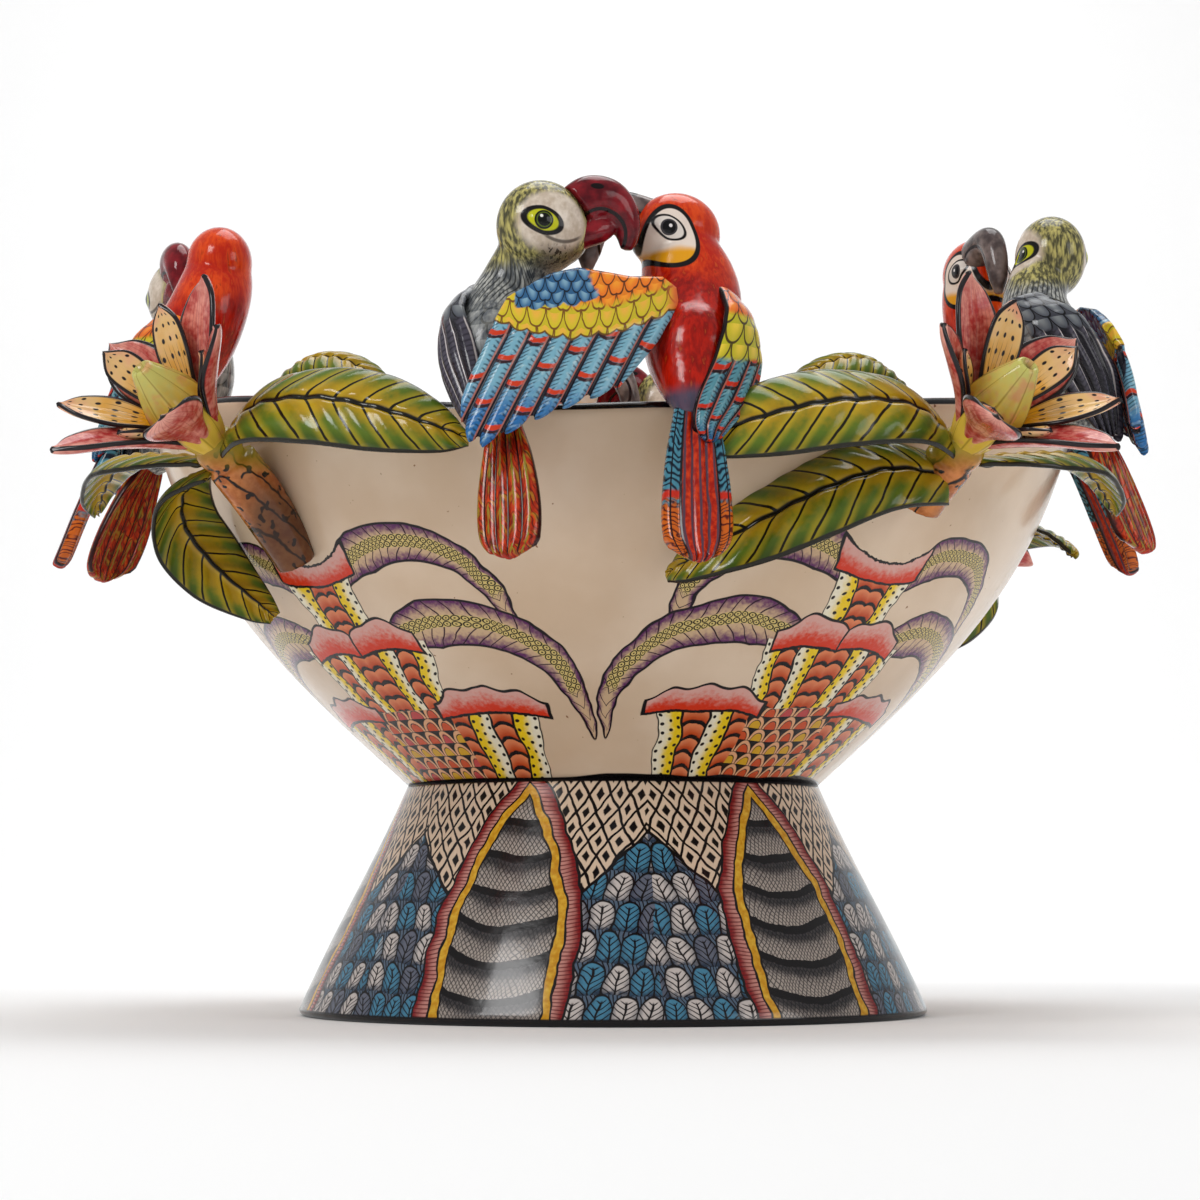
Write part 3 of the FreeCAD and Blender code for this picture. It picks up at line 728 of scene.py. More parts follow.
def feather_relief(count, start, height, scaled=False):
    """Ridges of folded feathers beyond start, and low scale humps before it."""

    def relief(u, v):
        ridge = 1 - (2 * ((v * count) % 1.0) - 1) ** 2
        beyond = np.clip((u - start) / 0.08, 0, 1)
        low = np.abs(np.sin(u * math.pi * 9)) * 0.35 if scaled else 0.0
        return height * (ridge - 0.6) * beyond + (low + 0.4) * (1 - beyond)

    return relief


def scalloped(count, depth):
    """How far each feather reaches: rounded tips, longest in the middle."""

    def tip(v):
        bump = np.sqrt(np.clip(1 - (2 * ((v * count) % 1.0) - 1) ** 2, 0, 1))
        return 1 - depth * (1 - bump) - 0.10 * (2 * v - 1) ** 2

    return tip


def tail_mesh(name, stations, side, back):
    edges = [(np.array(p) - side * w, np.array(p) + side * w, 2.5) for p, w in stations]
    return blade(name, edges, TAIL_THICK, back, (70, 61), feather_relief(5, 0.05, 1.3), scalloped(5, 0.07))


# The raised wing is cut along its feathers: q is the distance across them, from WING_TIP to WING_ROOT,
# and they slope by FEATHER_LEAN. Its two outlines are (q, height).
WING_TIP, WING_ROOT = -65.0, 9.0
FEATHER_LEAN, FEATHER_WIDTH = 0.48, 9.2
WING_BORDER_AT, WING_BORDER_LOW, WING_BORDER_BEND = -22.0, 23.3, 0.0078
WING_TOP = [
    (-65, 31), (-63.6, 41), (-57.3, 47.3), (-51.5, 52), (-41.7, 55.3),
    (-18.7, 53.2), (-5.6, 55), (2, 51), (9, 38),
]
WING_BOTTOM = [
    (-65, 16), (-61, -6), (-57.6, -14), (-50, -22), (-42.6, -24.5), (-29.8, -15.2),
    (-23.6, -11.4), (-10.7, -4.2), (1.3, 2), (4, 15), (9, 32),
]


def raised_wing_mesh():
    """Wing laid round the other parrot's back; UV is distance across the feathers and height, in cm."""
    x, y, z = np.array([q for a, b, _ in RAISED_WING for q in (a, b)], float).T
    k = np.linalg.lstsq(np.stack([np.ones(len(x)), x, z, x**2, x * z, z**2], 1), y, rcond=None)[0]
    q, v = np.meshgrid(np.linspace(WING_TIP, WING_ROOT, 260), np.linspace(0, 1, 90), indexing="ij")
    share = (q - WING_TIP) / FEATHER_WIDTH
    tip = np.sqrt(np.clip(1 - (2 * (share % 1.0) - 1) ** 2, 0, 1))
    top = np.interp(q, *np.array(WING_TOP).T)
    low = np.interp(q, *np.array(WING_BOTTOM).T)
    bottom = low + 4.5 * (1 - tip) - 1.5
    z = top + (np.minimum(bottom, top - 2) - top) * v
    x = q + FEATHER_LEAN * z
    plate = k[0] + k[1] * x + k[2] * z + k[3] * x**2 + k[4] * x * z + k[5] * z**2
    y = plate - 3.2 * np.sin(math.pi * v)
    points = np.stack([x, y, z], -1)
    normal = unit(np.cross(np.gradient(points, axis=1), np.gradient(points, axis=0)))
    if normal[..., 1].mean() > 0:
        normal = -normal
    feathered = np.clip((wing_border(x) - z) / 4, 0, 1)
    ridge = 1 - (2 * (share % 1.0) - 1) ** 2
    relief = feathered * (ridge * 1.7 - 1.2) + (1 - feathered) * 1.2
    edge = np.clip(np.minimum(v, 1 - v) * 18, 0, 1)
    edge = edge * np.clip(np.minimum(q - WING_TIP, WING_ROOT - q) / 2.5, 0, 1)
    edge = np.sqrt(1 - (1 - edge) ** 2)
    points = points + normal * (relief * edge - 2.0 * (1 - edge))[..., None]
    return slab("raised_wing", points, normal, WING_THICK * (0.15 + 0.85 * edge), np.stack([q, z], -1) / 10)


def wing_border(x):
    """Height of the yellow coverts' lower edge."""
    return (x - WING_BORDER_AT) ** 2 * WING_BORDER_BEND + WING_BORDER_LOW


def strokes(p, along, across, pitch, tilt, half=0.18):
    """Slanting pen strokes on both sides of a feather's quill."""
    return p.line(p.fract((along + abs(across) * tilt) / pitch), 0.5, half, 0.12)


def feather_paint(p, across, along, fine, light, deep, tip_at, bar_pitch, bar_shift):
    """One long feather: across -1 to 1, along in mm towards the tip."""
    colour = p.mix(p.smooth(along + fine * 26, tip_at - 20, tip_at), light, deep)
    colour = p.mix(p.smooth(fine, 0.0, 0.25) * 0.6, colour, rgb(176, 204, 206))
    colour = p.mix(p.smooth(abs(across) + fine * 0.5, 0.35, 0.95) * 0.6, colour, rgb(34, 84, 122))
    barb = strokes(p, along + fine * 2, across, 2.2, -2.2) * p.smooth(abs(across), 0.1, 0.4)
    colour = p.mix(barb * 0.8, colour, rgb(18, 40, 56))
    bend = along - (1.0 - across**2) * 2.2 + bar_shift + fine * 2
    place = p.fract(bend / bar_pitch) * bar_pitch
    colour = p.mix(p.within(place, 1.0, 3.4, 0.3), colour, rgb(196, 52, 26))
    colour = p.mix(p.within(place, 3.4, 5.0, 0.3), colour, rgb(44, 24, 30))
    colour = p.mix(p.smooth(across, 0.62, 0.74), colour, rgb(176, 104, 90))
    return p.mix(p.smooth(abs(across), 0.8, 0.88), colour, rgb(26, 26, 36))


def scale_rows(p, across, along, pitch, height, below, middle, edge, ink):
    """Rows of rounded scales, each shaded from its middle to its edge and outlined in ink."""
    row = along / height
    column = across / pitch + p.floor(row) * 0.5
    fx, fy = p.fract(column) * 2.0 - 1.0, p.fract(row)
    round_end = p.length(fx, fy)
    colour = p.mix(p.smooth(round_end, 0.1, 0.9), middle, edge)
    colour = p.mix(p.smooth(round_end, 0.94, 0.96), colour, below)
    return p.mix(p.line(round_end, 0.94, 0.07, 0.03), colour, ink)


# Scales' colours: behind, middle, edge, ink
YELLOW_SCALES = rgb(196, 176, 36), rgb(230, 170, 60), rgb(204, 184, 36), rgb(110, 66, 26)
ORANGE_SCALES = rgb(226, 120, 30), rgb(244, 150, 40), rgb(232, 110, 30), rgb(80, 40, 20)
BLUE_SCALES = rgb(40, 84, 124), rgb(118, 158, 180), rgb(44, 92, 136), rgb(18, 26, 36)
FOLDED_ORANGE = rgb(222, 110, 34), rgb(240, 150, 60), rgb(222, 108, 40), rgb(90, 44, 22)
FOLDED_YELLOW = rgb(190, 184, 48), rgb(232, 204, 76), rgb(196, 184, 52), rgb(84, 70, 30)
SHOULDER_SCALES = rgb(70, 72, 80), rgb(134, 138, 140), rgb(92, 96, 104), rgb(22, 22, 26)
BREAST_SCALES = rgb(92, 98, 104), rgb(168, 170, 170), rgb(112, 116, 122), rgb(26, 28, 32)


def raised_wing_paint():
    p = Paint("raised_wing_glaze")
    u, v = p.uv()
    q, z = u * 10.0, v * 10.0
    x = q + z * FEATHER_LEAN
    here = p.vector(q, z)
    fine, wander = p.noise(here, 2.6, 3.0), p.noise(here, 12.0)
    share = (q - WING_TIP) / FEATHER_WIDTH
    across = p.fract(share) * 2.0 - 1.0
    along = (z * -1.0 + 27.0) * 1.1
    shift = p.floor(share) * 8.7
    colour = feather_paint(p, across, along, fine, rgb(112, 164, 184), rgb(34, 96, 156), 44.0, 21.0, shift)
    scallop = p.fract(x / 7.4) * 2.0 - 1.0
    above = z - wing_border(x) + wander * 3.0 + (1.0 - scallop * scallop) * 1.6
    down = above * -1.0 + 40.0
    yellow, orange, blue = (
        scale_rows(p, x + wander * 4.0, down, 7.4, 7.5, *YELLOW_SCALES),
        scale_rows(p, x, down, 6.6, 6.0, *ORANGE_SCALES),
        scale_rows(p, x, down, 5.4, 5.2, *BLUE_SCALES),
    )
    cover = p.mix(p.smooth(above + wander * 12, 11.0, 16.0) * p.smooth(x, -40.0, -24.0), yellow, orange)
    patch = p.within(x + wander * 14.0 + above * 0.35, -38.0, -2.0, 0.8)
    cover = p.mix(p.smooth(above - x * 0.2 + wander * 6.0, 17.0, 18.0) * patch, cover, blue)
    cover = p.mix(p.smooth(x, 20.0, 26.0), cover, rgb(220, 96, 40))
    colour = p.mix(p.smooth(above, -0.9, -0.3), colour, rgb(96, 64, 24))
    colour = p.mix(p.smooth(above, 0.0, 0.5), colour, cover)
    return p.glaze(colour, fine * 0.3 + (1.0 - across * across) * 0.1, bump=0.35, deepen=0.92)


def red_folded_paint():
    p = Paint("folded_wing_glaze")
    u, v = p.uv()
    here = p.vector(u * 80.0, v * 26.0)
    fine, wander = p.noise(here, 2.6, 3.0), p.noise(here, 12.0)
    across = p.fract(v * 4.0) * 2.0 - 1.0
    along = u * 88.0
    shift = p.floor(v * 4.0) * 7.3
    colour = feather_paint(p, across, along, fine, rgb(96, 148, 160), rgb(36, 92, 140), 84.0, 19.0, shift)
    edge = u + wander * 0.08
    yellow = scale_rows(p, v * 27.0, along, 7.6, 7.5, *FOLDED_YELLOW)
    orange = scale_rows(p, v * 27.0, along, 7.0, 6.5, *FOLDED_ORANGE)
    colour = p.mix(p.under(edge, 0.40, 0.015), colour, yellow)
    colour = p.mix(p.under(edge, 0.2, 0.02), colour, orange)
    colour = p.mix(p.most(p.under(v, 0.03, 0.01), p.smooth(v, 0.965, 0.975)), colour, BLACK)
    return p.glaze(colour, fine * 0.3, bump=0.35)


def grey_wing_paint():
    p = Paint("grey_wing_glaze")
    u, v = p.uv()
    here = p.vector(u * 80.0, v * 30.0)
    fine = p.noise(here, 2.6, 3.0)
    share = v * 5.0
    across = p.fract(share) * 2.0 - 1.0
    colour = p.mix(p.smooth(across + fine, -0.7, 0.8), rgb(32, 30, 38), rgb(92, 88, 100))
    colour = p.mix(strokes(p, u * 84.0, across, 2.6, 2.2) * 0.5, colour, rgb(24, 22, 30))
    colour = p.mix(p.line(across, 0.88, 0.05, 0.03), colour, rgb(214, 206, 204))
    shoulder = scale_rows(p, v * 30.0, u * 84.0, 7.2, 7.5, *SHOULDER_SCALES)
    colour = p.mix(p.under(u + fine * 0.04, 0.34, 0.02), colour, shoulder)
    return p.glaze(colour, fine * 0.3, bump=0.35)


def grey_tail_paint():
    p = Paint("grey_tail_glaze")
    u, v = p.uv()
    here = p.vector(u * 66.0, v * 32.0)
    fine = p.noise(here, 2.4, 3.0)
    across = p.fract(v * 5.0) * 2.0 - 1.0
    drift = p.noise(here, 7.0, 2.0)
    streak = p.noise(p.vector(u * 20.0, v * 32.0), 3.0, 3.0)
    colour = p.mix(p.smooth(streak + fine * 0.4, -0.2, 0.2), rgb(136, 22, 12), rgb(214, 76, 28))
    colour = p.mix(p.smooth(streak, -0.12, -0.2) * 0.7, colour, rgb(96, 84, 34))
    slant = u * 66.0 + drift * 15.0
    yellow = strokes(p, slant, across, 7.0, -5.0, 0.2) * p.smooth(drift + fine * 0.4, -0.05, 0.1) * 0.75
    colour = p.mix(yellow, colour, rgb(178, 142, 44))
    dark = strokes(p, slant + 2.0, across, 4.1, -7.0, 0.13) * p.smooth(fine, -0.2, 0.05) * 0.85
    colour = p.mix(dark, colour, rgb(66, 18, 16))
    quill = p.line(across + fine * 0.3, 0.0, 0.14, 0.08) * p.smooth(drift, -0.15, 0.05)
    colour = p.mix(quill, colour, rgb(150, 138, 50))
    colour = p.mix(p.smooth(abs(across), 0.8, 0.92), colour, rgb(60, 20, 18))
    colour = p.mix(p.smooth(u, 0.9, 1.0) * 0.6, colour, rgb(206, 62, 50))
    return p.glaze(colour, fine * 0.3, bump=0.35)


def red_tail_paint():
    p = Paint("red_tail_glaze")
    u, v = p.uv()
    here = p.vector(u * 68.0, v * 31.0)
    fine = p.noise(here, 2.4, 3.0)
    middle = abs(v - 0.5) * 2.0
    red = p.mix(p.smooth(fine, -0.2, 0.3), rgb(160, 28, 12), rgb(220, 78, 28))
    red = p.mix(p.line(p.fract(v * 9.0 + p.noise(here, 14.0) * 0.6), 0.5, 0.16, 0.07), red, rgb(96, 70, 84))
    edge_along = u * 68.0 + p.noise(here, 9.0) * 12.0
    blue = p.mix(strokes(p, edge_along, middle, 2.5, 9.0, 0.2), rgb(84, 142, 160), rgb(18, 40, 58))
    warm = p.mix(strokes(p, edge_along, middle, 2.3, 9.0, 0.15), rgb(204, 108, 36), rgb(96, 30, 20))
    side = p.mix(p.smooth(u + fine * 0.3, 0.48, 0.58), blue, warm)
    side = p.mix(p.line(u, 0.5, 0.02, 0.01), side, rgb(200, 54, 36))
    colour = p.mix(p.smooth(middle, 0.5, 0.54), red, side)
    colour = p.mix(p.line(middle, 0.52, 0.035, 0.02), colour, rgb(26, 24, 30))
    colour = p.mix(p.line(middle, 0.78, 0.02, 0.01), colour, rgb(26, 24, 30))
    return p.glaze(colour, fine * 0.3, bump=0.35)


def head_place(p, x, y, z, head, heading):
    """Ahead and up from the head's centre, in mm."""
    ahead = (x - float(head[0])) * float(heading[0]) + (y - float(head[1])) * float(heading[1])
    return ahead, z - float(head[2])


def almond(p, ahead, up, half_long, half_high, slant):
    """0 at the middle of an eye shape, 1 on its outline."""
    return p.length(ahead / half_long, (up + ahead * slant) / half_high) + abs(ahead) / half_long * 0.12


def grey_body_paint():
    p = Paint("grey_body_glaze")
    x, y, z, here = p.spot()
    streak = p.vector(x, y, z * 0.25)
    fine, long_streak, cloud = p.noise(here, 2.2, 3.0), p.noise(streak, 1.6, 2.0), p.noise(here, 14.0)
    ahead, up = head_place(p, x, y, z, GREY_HEAD, GREY_HEADING)
    body = p.mix(p.smooth(long_streak + cloud * 0.6, -0.22, 0.22), rgb(88, 92, 96), rgb(190, 190, 184))
    around = p.math("ARCTAN2", x - GREY_HEAD[0], y * -1.0)
    scales = scale_rows(p, around * 24.0, z * -1.0 + 100.0, 7.0, 7.0, *BREAST_SCALES)
    body = p.mix(p.within(z, 4.0, 40.0, 6.0) * 0.6, body, scales)
    pen = p.under(abs(p.fract(around * 13.0 + cloud) - 0.5), 0.16, 0.06)
    body = p.mix(pen * p.within(z + cloud * 10, 40.0, 66.0, 4.0) * 0.8, body, rgb(44, 44, 44))
    crown = p.mix(p.smooth(long_streak, -0.15, 0.2), rgb(86, 84, 62), rgb(196, 186, 120))
    face = p.mix(p.smooth(cloud + fine, -0.3, 0.4), rgb(196, 180, 162), rgb(226, 214, 200))
    colour = p.mix(p.smooth(z + cloud * 8, 54.0, 62.0), body, crown)
    patch = p.length((ahead - 0.5) / 15.5, (up + 0.5) / 13.5)
    colour = p.mix(p.under(patch + fine * 0.15, 1.0, 0.12), colour, face)
    crease = p.line(up + 9.0 - (ahead - 4.0) ** 2 * 0.035, 0.0, 0.7, 0.4) * p.within(ahead, -4.0, 13.0, 2.0)
    colour = p.mix(crease * 0.8, colour, rgb(70, 60, 54))
    throat = p.within(up, -19.0, -11.0, 2.0) * p.smooth(ahead, -8.0, 0.0)
    colour = p.mix(throat * 0.55, colour, rgb(122, 106, 88))
    colour = p.mix(throat * p.smooth(long_streak, 0.02, 0.1) * 0.9, colour, rgb(40, 36, 34))
    ex, ez = ahead - GREY_EYE[0], up - GREY_EYE[1]
    eye = almond(p, ex, ez, 10.2, 6.3, 0.2)
    colour = p.mix(p.under(eye, 1.0, 0.04), colour, BLACK)
    colour = p.mix(p.under(eye, 0.72, 0.05), colour, rgb(196, 196, 40))
    pupil = p.length(ex, ez)
    colour = p.mix(p.under(pupil, 4.1, 0.2), colour, rgb(18, 22, 18))
    colour = p.mix(p.line(pupil, 3.1, 0.25, 0.12) * 0.6, colour, rgb(120, 140, 40))
    # Painted highlight: a white glint towards the upper back of the pupil.
    colour = p.mix(p.under(p.length(ex + 1.2, ez - 1.5), 0.7, 0.15), colour, rgb(240, 240, 230))
    return p.glaze(colour, fine * 0.25 + long_streak * 0.2, bump=0.35)


def red_body_paint():
    p = Paint("red_body_glaze")
    x, y, z, here = p.spot()
    streak = p.vector(x, y, z * 0.22)
    fine, long_streak, cloud = p.noise(here, 2.2, 3.0), p.noise(streak, 2.2, 3.0), p.noise(here, 16.0)
    ahead, up = head_place(p, x, y, z, RED_HEAD, RED_HEADING)
    body = p.mix(p.smooth(long_streak + cloud * 0.5, -0.25, 0.25), rgb(132, 14, 8), rgb(196, 40, 16))
    head = p.mix(p.smooth(long_streak + cloud, -0.25, 0.25), rgb(190, 40, 12), rgb(226, 88, 30))
    colour = p.mix(p.smooth(z + cloud * 12, 50.0, 66.0), body, head)
    colour = p.mix(p.smooth(long_streak, 0.1, 0.22) * 0.45, colour, rgb(96, 16, 12))
    colour = p.mix(p.smooth(long_streak, -0.1, -0.24) * 0.35, colour, rgb(236, 126, 48))
    colour = p.mix(p.under(z + cloud * 5, 3.0, 4.0) * 0.8, colour, rgb(60, 92, 112))
    px, pz = ahead - RED_PATCH[0], up - RED_PATCH[1]
    patch = p.length(px / (10.6 - pz * 0.12), pz / 14.0)
    white = p.mix(p.smooth(pz + cloud * 5, -4.5, -8.5), rgb(232, 218, 206), rgb(228, 166, 36))
    colour = p.mix(p.under(patch, 1.0, 0.02), colour, white)
    colour = p.mix(p.line(patch, 1.0, 0.085, 0.02), colour, BLACK)
    ex, ez = ahead - RED_EYE[0], up - RED_EYE[1]
    eye = almond(p, ex, ez, 7.2, 5.4, -0.35)
    colour = p.mix(p.under(eye, 1.0, 0.04), colour, rgb(222, 214, 206))
    colour = p.mix(p.line(eye, 1.0, 0.09, 0.04), colour, BLACK)
    pupil = p.length(ex - 0.4, ez)
    colour = p.mix(p.under(pupil, 3.7, 0.15), colour, rgb(70, 66, 70))
    colour = p.mix(p.under(pupil, 2.9, 0.2), colour, rgb(16, 14, 18))
    # Painted highlight: a small white glint in the pupil.
    colour = p.mix(p.under(p.length(ex + 0.2, ez - 0.6), 0.8, 0.2), colour, rgb(236, 232, 232))
    return p.glaze(colour, fine * 0.25 + long_streak * 0.15, bump=0.35)


def beak_paint(name, root, heading, dark, light, groove):
    """Shiny beak with a mouth line and a nostril."""
    p = Paint(name)
    x, y, z, here = p.spot()
    fine, cloud = p.noise(here, 3.0, 3.0), p.noise(here, 10.0)
    ahead, up = head_place(p, x, y, z, root, heading)
    colour = p.mix(p.smooth(cloud + fine * 0.4, -0.2, 0.25), dark, light)
    mouth = p.length(ahead - 24.0, up + 4.0)
    colour = p.mix(p.line(mouth, groove, 0.75, 0.25) * p.smooth(ahead, 14.0, 16.0), colour, rgb(34, 12, 18))
    nostril = p.length((ahead - 21.0) / 3.0, (up - 17.0) / 1.4)
    colour = p.mix(p.under(nostril, 1.0, 0.15), colour, rgb(26, 10, 14))
    return p.glaze(colour, fine * 0.15 - p.line(mouth, groove, 1.2, 0.5) * 0.8, roughness=0.12)


def make_pairs():
    """Each pair's pieces: the mesh, its glaze and the CAD node's name after the pair's own."""
    lateral = np.array((-GREY_HEADING[1], GREY_HEADING[0], 0)) * BEAK_OFFSET
    grey_root, red_root = GREY_HEAD - lateral, RED_HEAD + lateral
    wing_form = dict(counts=(90, 61), relief=feather_relief(5, 0.34, 1.5, True), tip=scalloped(5, 0.05))
    folded_form = dict(counts=(90, 61), relief=feather_relief(4, 0.40, 1.5, True), tip=scalloped(4, 0.06))
    grey = (GREY_SPINE, GREY_SIDE, GREY_HEAD, GREY_HEADING, GREY_HEAD_HALF, GREY_EYE, GREY_BACK)
    red = (RED_SPINE, RED_SIDE, RED_HEAD, RED_HEADING, RED_HEAD_HALF, RED_EYE, RED_BACK)
    grey_wing = grey_wing_paint()
    grey_body = bird_mesh("grey_body", *grey)
    red_body = bird_mesh("red_body", *red)
    grey_tail = tail_mesh("grey_tail", GREY_TAIL, GREY_SIDE, GREY_BACK)
    red_tail = tail_mesh("red_tail", RED_TAIL, RED_SIDE, RED_BACK)
    folded = blade("folded_wing", RED_FOLDED, WING_THICK, RED_SIDE + RED_BACK * 0.4, **folded_form)
    near = blade("grey_wing_near", GREY_NEAR_WING, WING_THICK, -GREY_SIDE, **wing_form)
    far = blade("grey_wing_far", GREY_FAR_WING, WING_THICK, GREY_SIDE + GREY_BACK, **wing_form)
    maroon = beak_paint("maroon_beak_glaze", grey_root, GREY_HEADING, rgb(92, 16, 30), rgb(150, 38, 48), 11.5)
    slate = beak_paint("grey_beak_glaze", red_root, RED_HEADING, rgb(84, 74, 74), rgb(146, 132, 128), 13.0)
    grey_beak = beak_mesh("grey_beak", grey_root, GREY_HEADING, UPPER_MANDIBLE, LOWER_MANDIBLE)
    red_beak = beak_mesh("red_beak", red_root, RED_HEADING, RED_MANDIBLE)
    made = [
        (grey_body, grey_body_paint(), "grey_body_glaze", "grey_body"),
        (red_body, red_body_paint(), "red_body_glaze", "red_body"),
        (grey_tail, grey_tail_paint(), "grey_tail_glaze", "grey_tail"),
        (red_tail, red_tail_paint(), "red_tail_glaze", "red_tail"),
        (raised_wing_mesh(), raised_wing_paint(), "raised_wing_glaze", "red_raised_wing"),
        (folded, red_folded_paint(), "folded_wing_glaze", "red_folded_wing"),
        (near, grey_wing, "grey_wing_glaze", "grey_wings"),
        (far, grey_wing, "grey_wing_glaze", "grey_wings"),
        (grey_beak, maroon, "maroon_beak_glaze", "grey_beak"),
        (red_beak, slate, "grey_beak_glaze", "red_beak"),
    ]
    for place, (azimuth, outward) in PAIRS.items():
        stand = standing(azimuth, PERCH_RADIUS + outward, rim_z(azimuth))
        for mesh, material, slot, node in made:
            piece(f"{place}_{mesh.name}_painted", mesh, material, stand, slot, f"{place}_{node}")


# ---- flower sprays, in a rim frame: x along the rim, y inwards, z up from the rim ----
FLOWER_BASE = np.array((0.0, -17, -26))
FLOWER_AXIS = unit(np.array((0.06, -0.83, 0.56)))
STEM = [((0, 28, -74), 9, 9), ((0, 20, -62), 11, 11), ((0, 4, -44), 12, 12), ((0, -10, -31), 12, 12)]
SHORT_STEM = [((0, 8, -50), 9, 9), ((0, 3, -43), 10, 10), ((0, -4, -36), 11, 11), ((0, -11, -30), 11.5, 11.5)]
RECEPTACLE = 11.0
# Petals: (turn round the axis, opening from it, length, half width)
OUTER_PETALS = [(26, 35, 58, 13), (84, 41, 65, 14), (152, 44, 60, 15), (246, 39, 66, 14), (318, 36, 52, 18)]
INNER_PETALS = [
    (34, 27, 46, 10), (104, 28, 62, 12), (160, 30, 60, 12),
    (208, 33, 66, 11), (262, 29, 46, 11), (322, 27, 42, 10),
]
INNER_START, OUTER_START, PETAL_GAP = 6.0, 10.0, 0.9
# A petal's sections: (share of its length, share of its half width, flare)
PETAL_SECTIONS = ((0.0, 0.35, 0.0), (0.3, 0.85, 0.15), (0.6, 1.0, 0.5), (0.85, 0.7, 0.9), (1.0, 0.12, 1.1))
# Pistil: (along the axis, radius)
PISTIL = [(4, 8), (16, 12), (30, 13.5), (43, 10), (54, 5)]
PISTIL_RIBS = 9
PETAL_THICK, INNER_PETAL_THICK, LEAF_THICK, PETAL_CURL = 3.6, 3.2, 3.6, 0.38
# Leaves: (degrees along the rim, out from it, up from it, half width, lean)
VEINS = 11.0
LONG_LEAF = [
    (1, 15, -22, 12, 35), (7, 19, -12, 19, 35), (15, 18, -12, 22, 30),
    (22, 15, -18, 20, 25), (28, 12, -26, 12, 22), (31, 10, -31, 3, 20),
]
LOW_LEAF = [
    (1, 10, -38, 14, 25), (8, 6, -38, 20, 32), (15, -2, -48, 23, 36),
    (22, -12, -62, 21, 38), (29, -22, -76, 12, 40), (32, -27, -82, 3, 40),
]
OUT_LEAF = [
    (-2, 15, -30, 7, 80), (-9, 24, -28, 16, 78), (-16, 30, -26, 17, 74),
    (-22, 32, -34, 12, 60), (-26, 32, -42, 3, 50),
]
BACK_LEAF = [
    (2, -8, 2, 7, 60), (6, -12, 12, 14, 62), (10, -18, 13, 15, 66),
    (14, -24, 6, 11, 70), (16, -28, -2, 3, 70),
]
CURLED_LEAF = [
    (-2, 12, -34, 9, 60), (-9, 12, -40, 16, 60), (-14, 2, -56, 19, 55),
    (-14, -14, -74, 17, 45), (-11, -30, -90, 9, 40), (-9, -36, -97, 3, 40),
]


def joined(name, meshes):
    """Several meshes as one."""
    points, faces, uv, start = [], [], [], 0
    for mesh in meshes:
        count = len(mesh.vertices)
        place = np.empty(count * 3)
        mesh.vertices.foreach_get("co", place)
        points.append(place.reshape(-1, 3) / MM)
        layer, by_point = mesh.uv_layers[0].data, np.zeros((count, 2))
        for loop in mesh.loops:
            by_point[loop.vertex_index] = layer[loop.index].uv
        uv.append(by_point)
        faces += [tuple(i + start for i in polygon.vertices) for polygon in mesh.polygons]
        start += count
        bpy.data.meshes.remove(mesh)
    return mesh_from(name, np.concatenate(points), faces, np.concatenate(uv))


def round_axis(angle):
    """Direction square to the flower's axis, at an angle in radians round it."""
    e1 = unit(np.array((1.0, 0, 0)) - FLOWER_AXIS * FLOWER_AXIS[0])
    return e1 * math.cos(angle) + np.cross(FLOWER_AXIS, e1) * math.sin(angle)


def petal_ring(name, recipe, start, thick):
    """Cupped petals round the flower's axis, no wider than their neighbours allow. UV u runs to the tip."""
    petals = []
    turns = [petal[0] for petal in recipe]
    for number, (turn, opening, length, half_width) in enumerate(recipe):
        nearest = min(abs((turn - other + 180) % 360 - 180) for other in turns if other != turn)
        share_of_turn = math.tan(math.radians(nearest / 2))
        o = math.radians(opening)
        out = round_axis(math.radians(turn))
        side = np.cross(FLOWER_AXIS, out)
        stations = []
        for share, width, flare in PETAL_SECTIONS:
            along = share * length
            angle = o * (0.75 + 0.35 * flare)
            reach = start * 0.75 + along * math.sin(angle)
            at = FLOWER_BASE + FLOWER_AXIS * (start + along * math.cos(angle)) + out * reach
            w = min(half_width * width, reach * share_of_turn - PETAL_GAP)
            stations.append((at - side * w, at + side * w, w * PETAL_CURL))

        def relief(u, v, number=number):
            groove = -0.9 * np.exp(-(((v - 0.5) / 0.06) ** 2)) * np.clip(1.1 - u, 0, 1)
            return groove + 0.5 * np.sin(u * 9 + number) * (2 * v - 1) ** 2

        face = out - FLOWER_AXIS * 0.3
        petals.append(blade(f"{name}_{number}", stations, thick, face, (34, 21), relief, edge_round=4))
    return joined(name, petals)


def leaf_mesh(name, stations, azimuth, hand, z0):
    """Leaf blade whose midrib is given round the bowl, in the part's own frame, with pressed veins."""
    sections = []
    for step, out_by, up_by, half_width, lean in stations:
        radial, tilt = outward_at(azimuth + hand * step), math.radians(lean)
        across = UP * math.cos(tilt) - radial * math.sin(tilt)
        at = radial * (SPRAY_RADIUS + out_by) + UP * (z0 + up_by)
        sections.append((at + across * half_width, at - across * half_width, half_width * 0.22))

    def relief(u, v):
        side = np.abs(2 * v - 1)
        vein = np.cos(2 * math.pi * (u * VEINS - side * 1.2))
        midrib = -1.8 * np.exp(-((side / 0.09) ** 2))
        return midrib + 0.45 * (1 - vein) * (1 - side**3) + 0.8 * np.sin(u * 11) * side**2

    return blade(name, sections, LEAF_THICK, outward_at(azimuth) + UP * 0.9, (110, 41), relief)


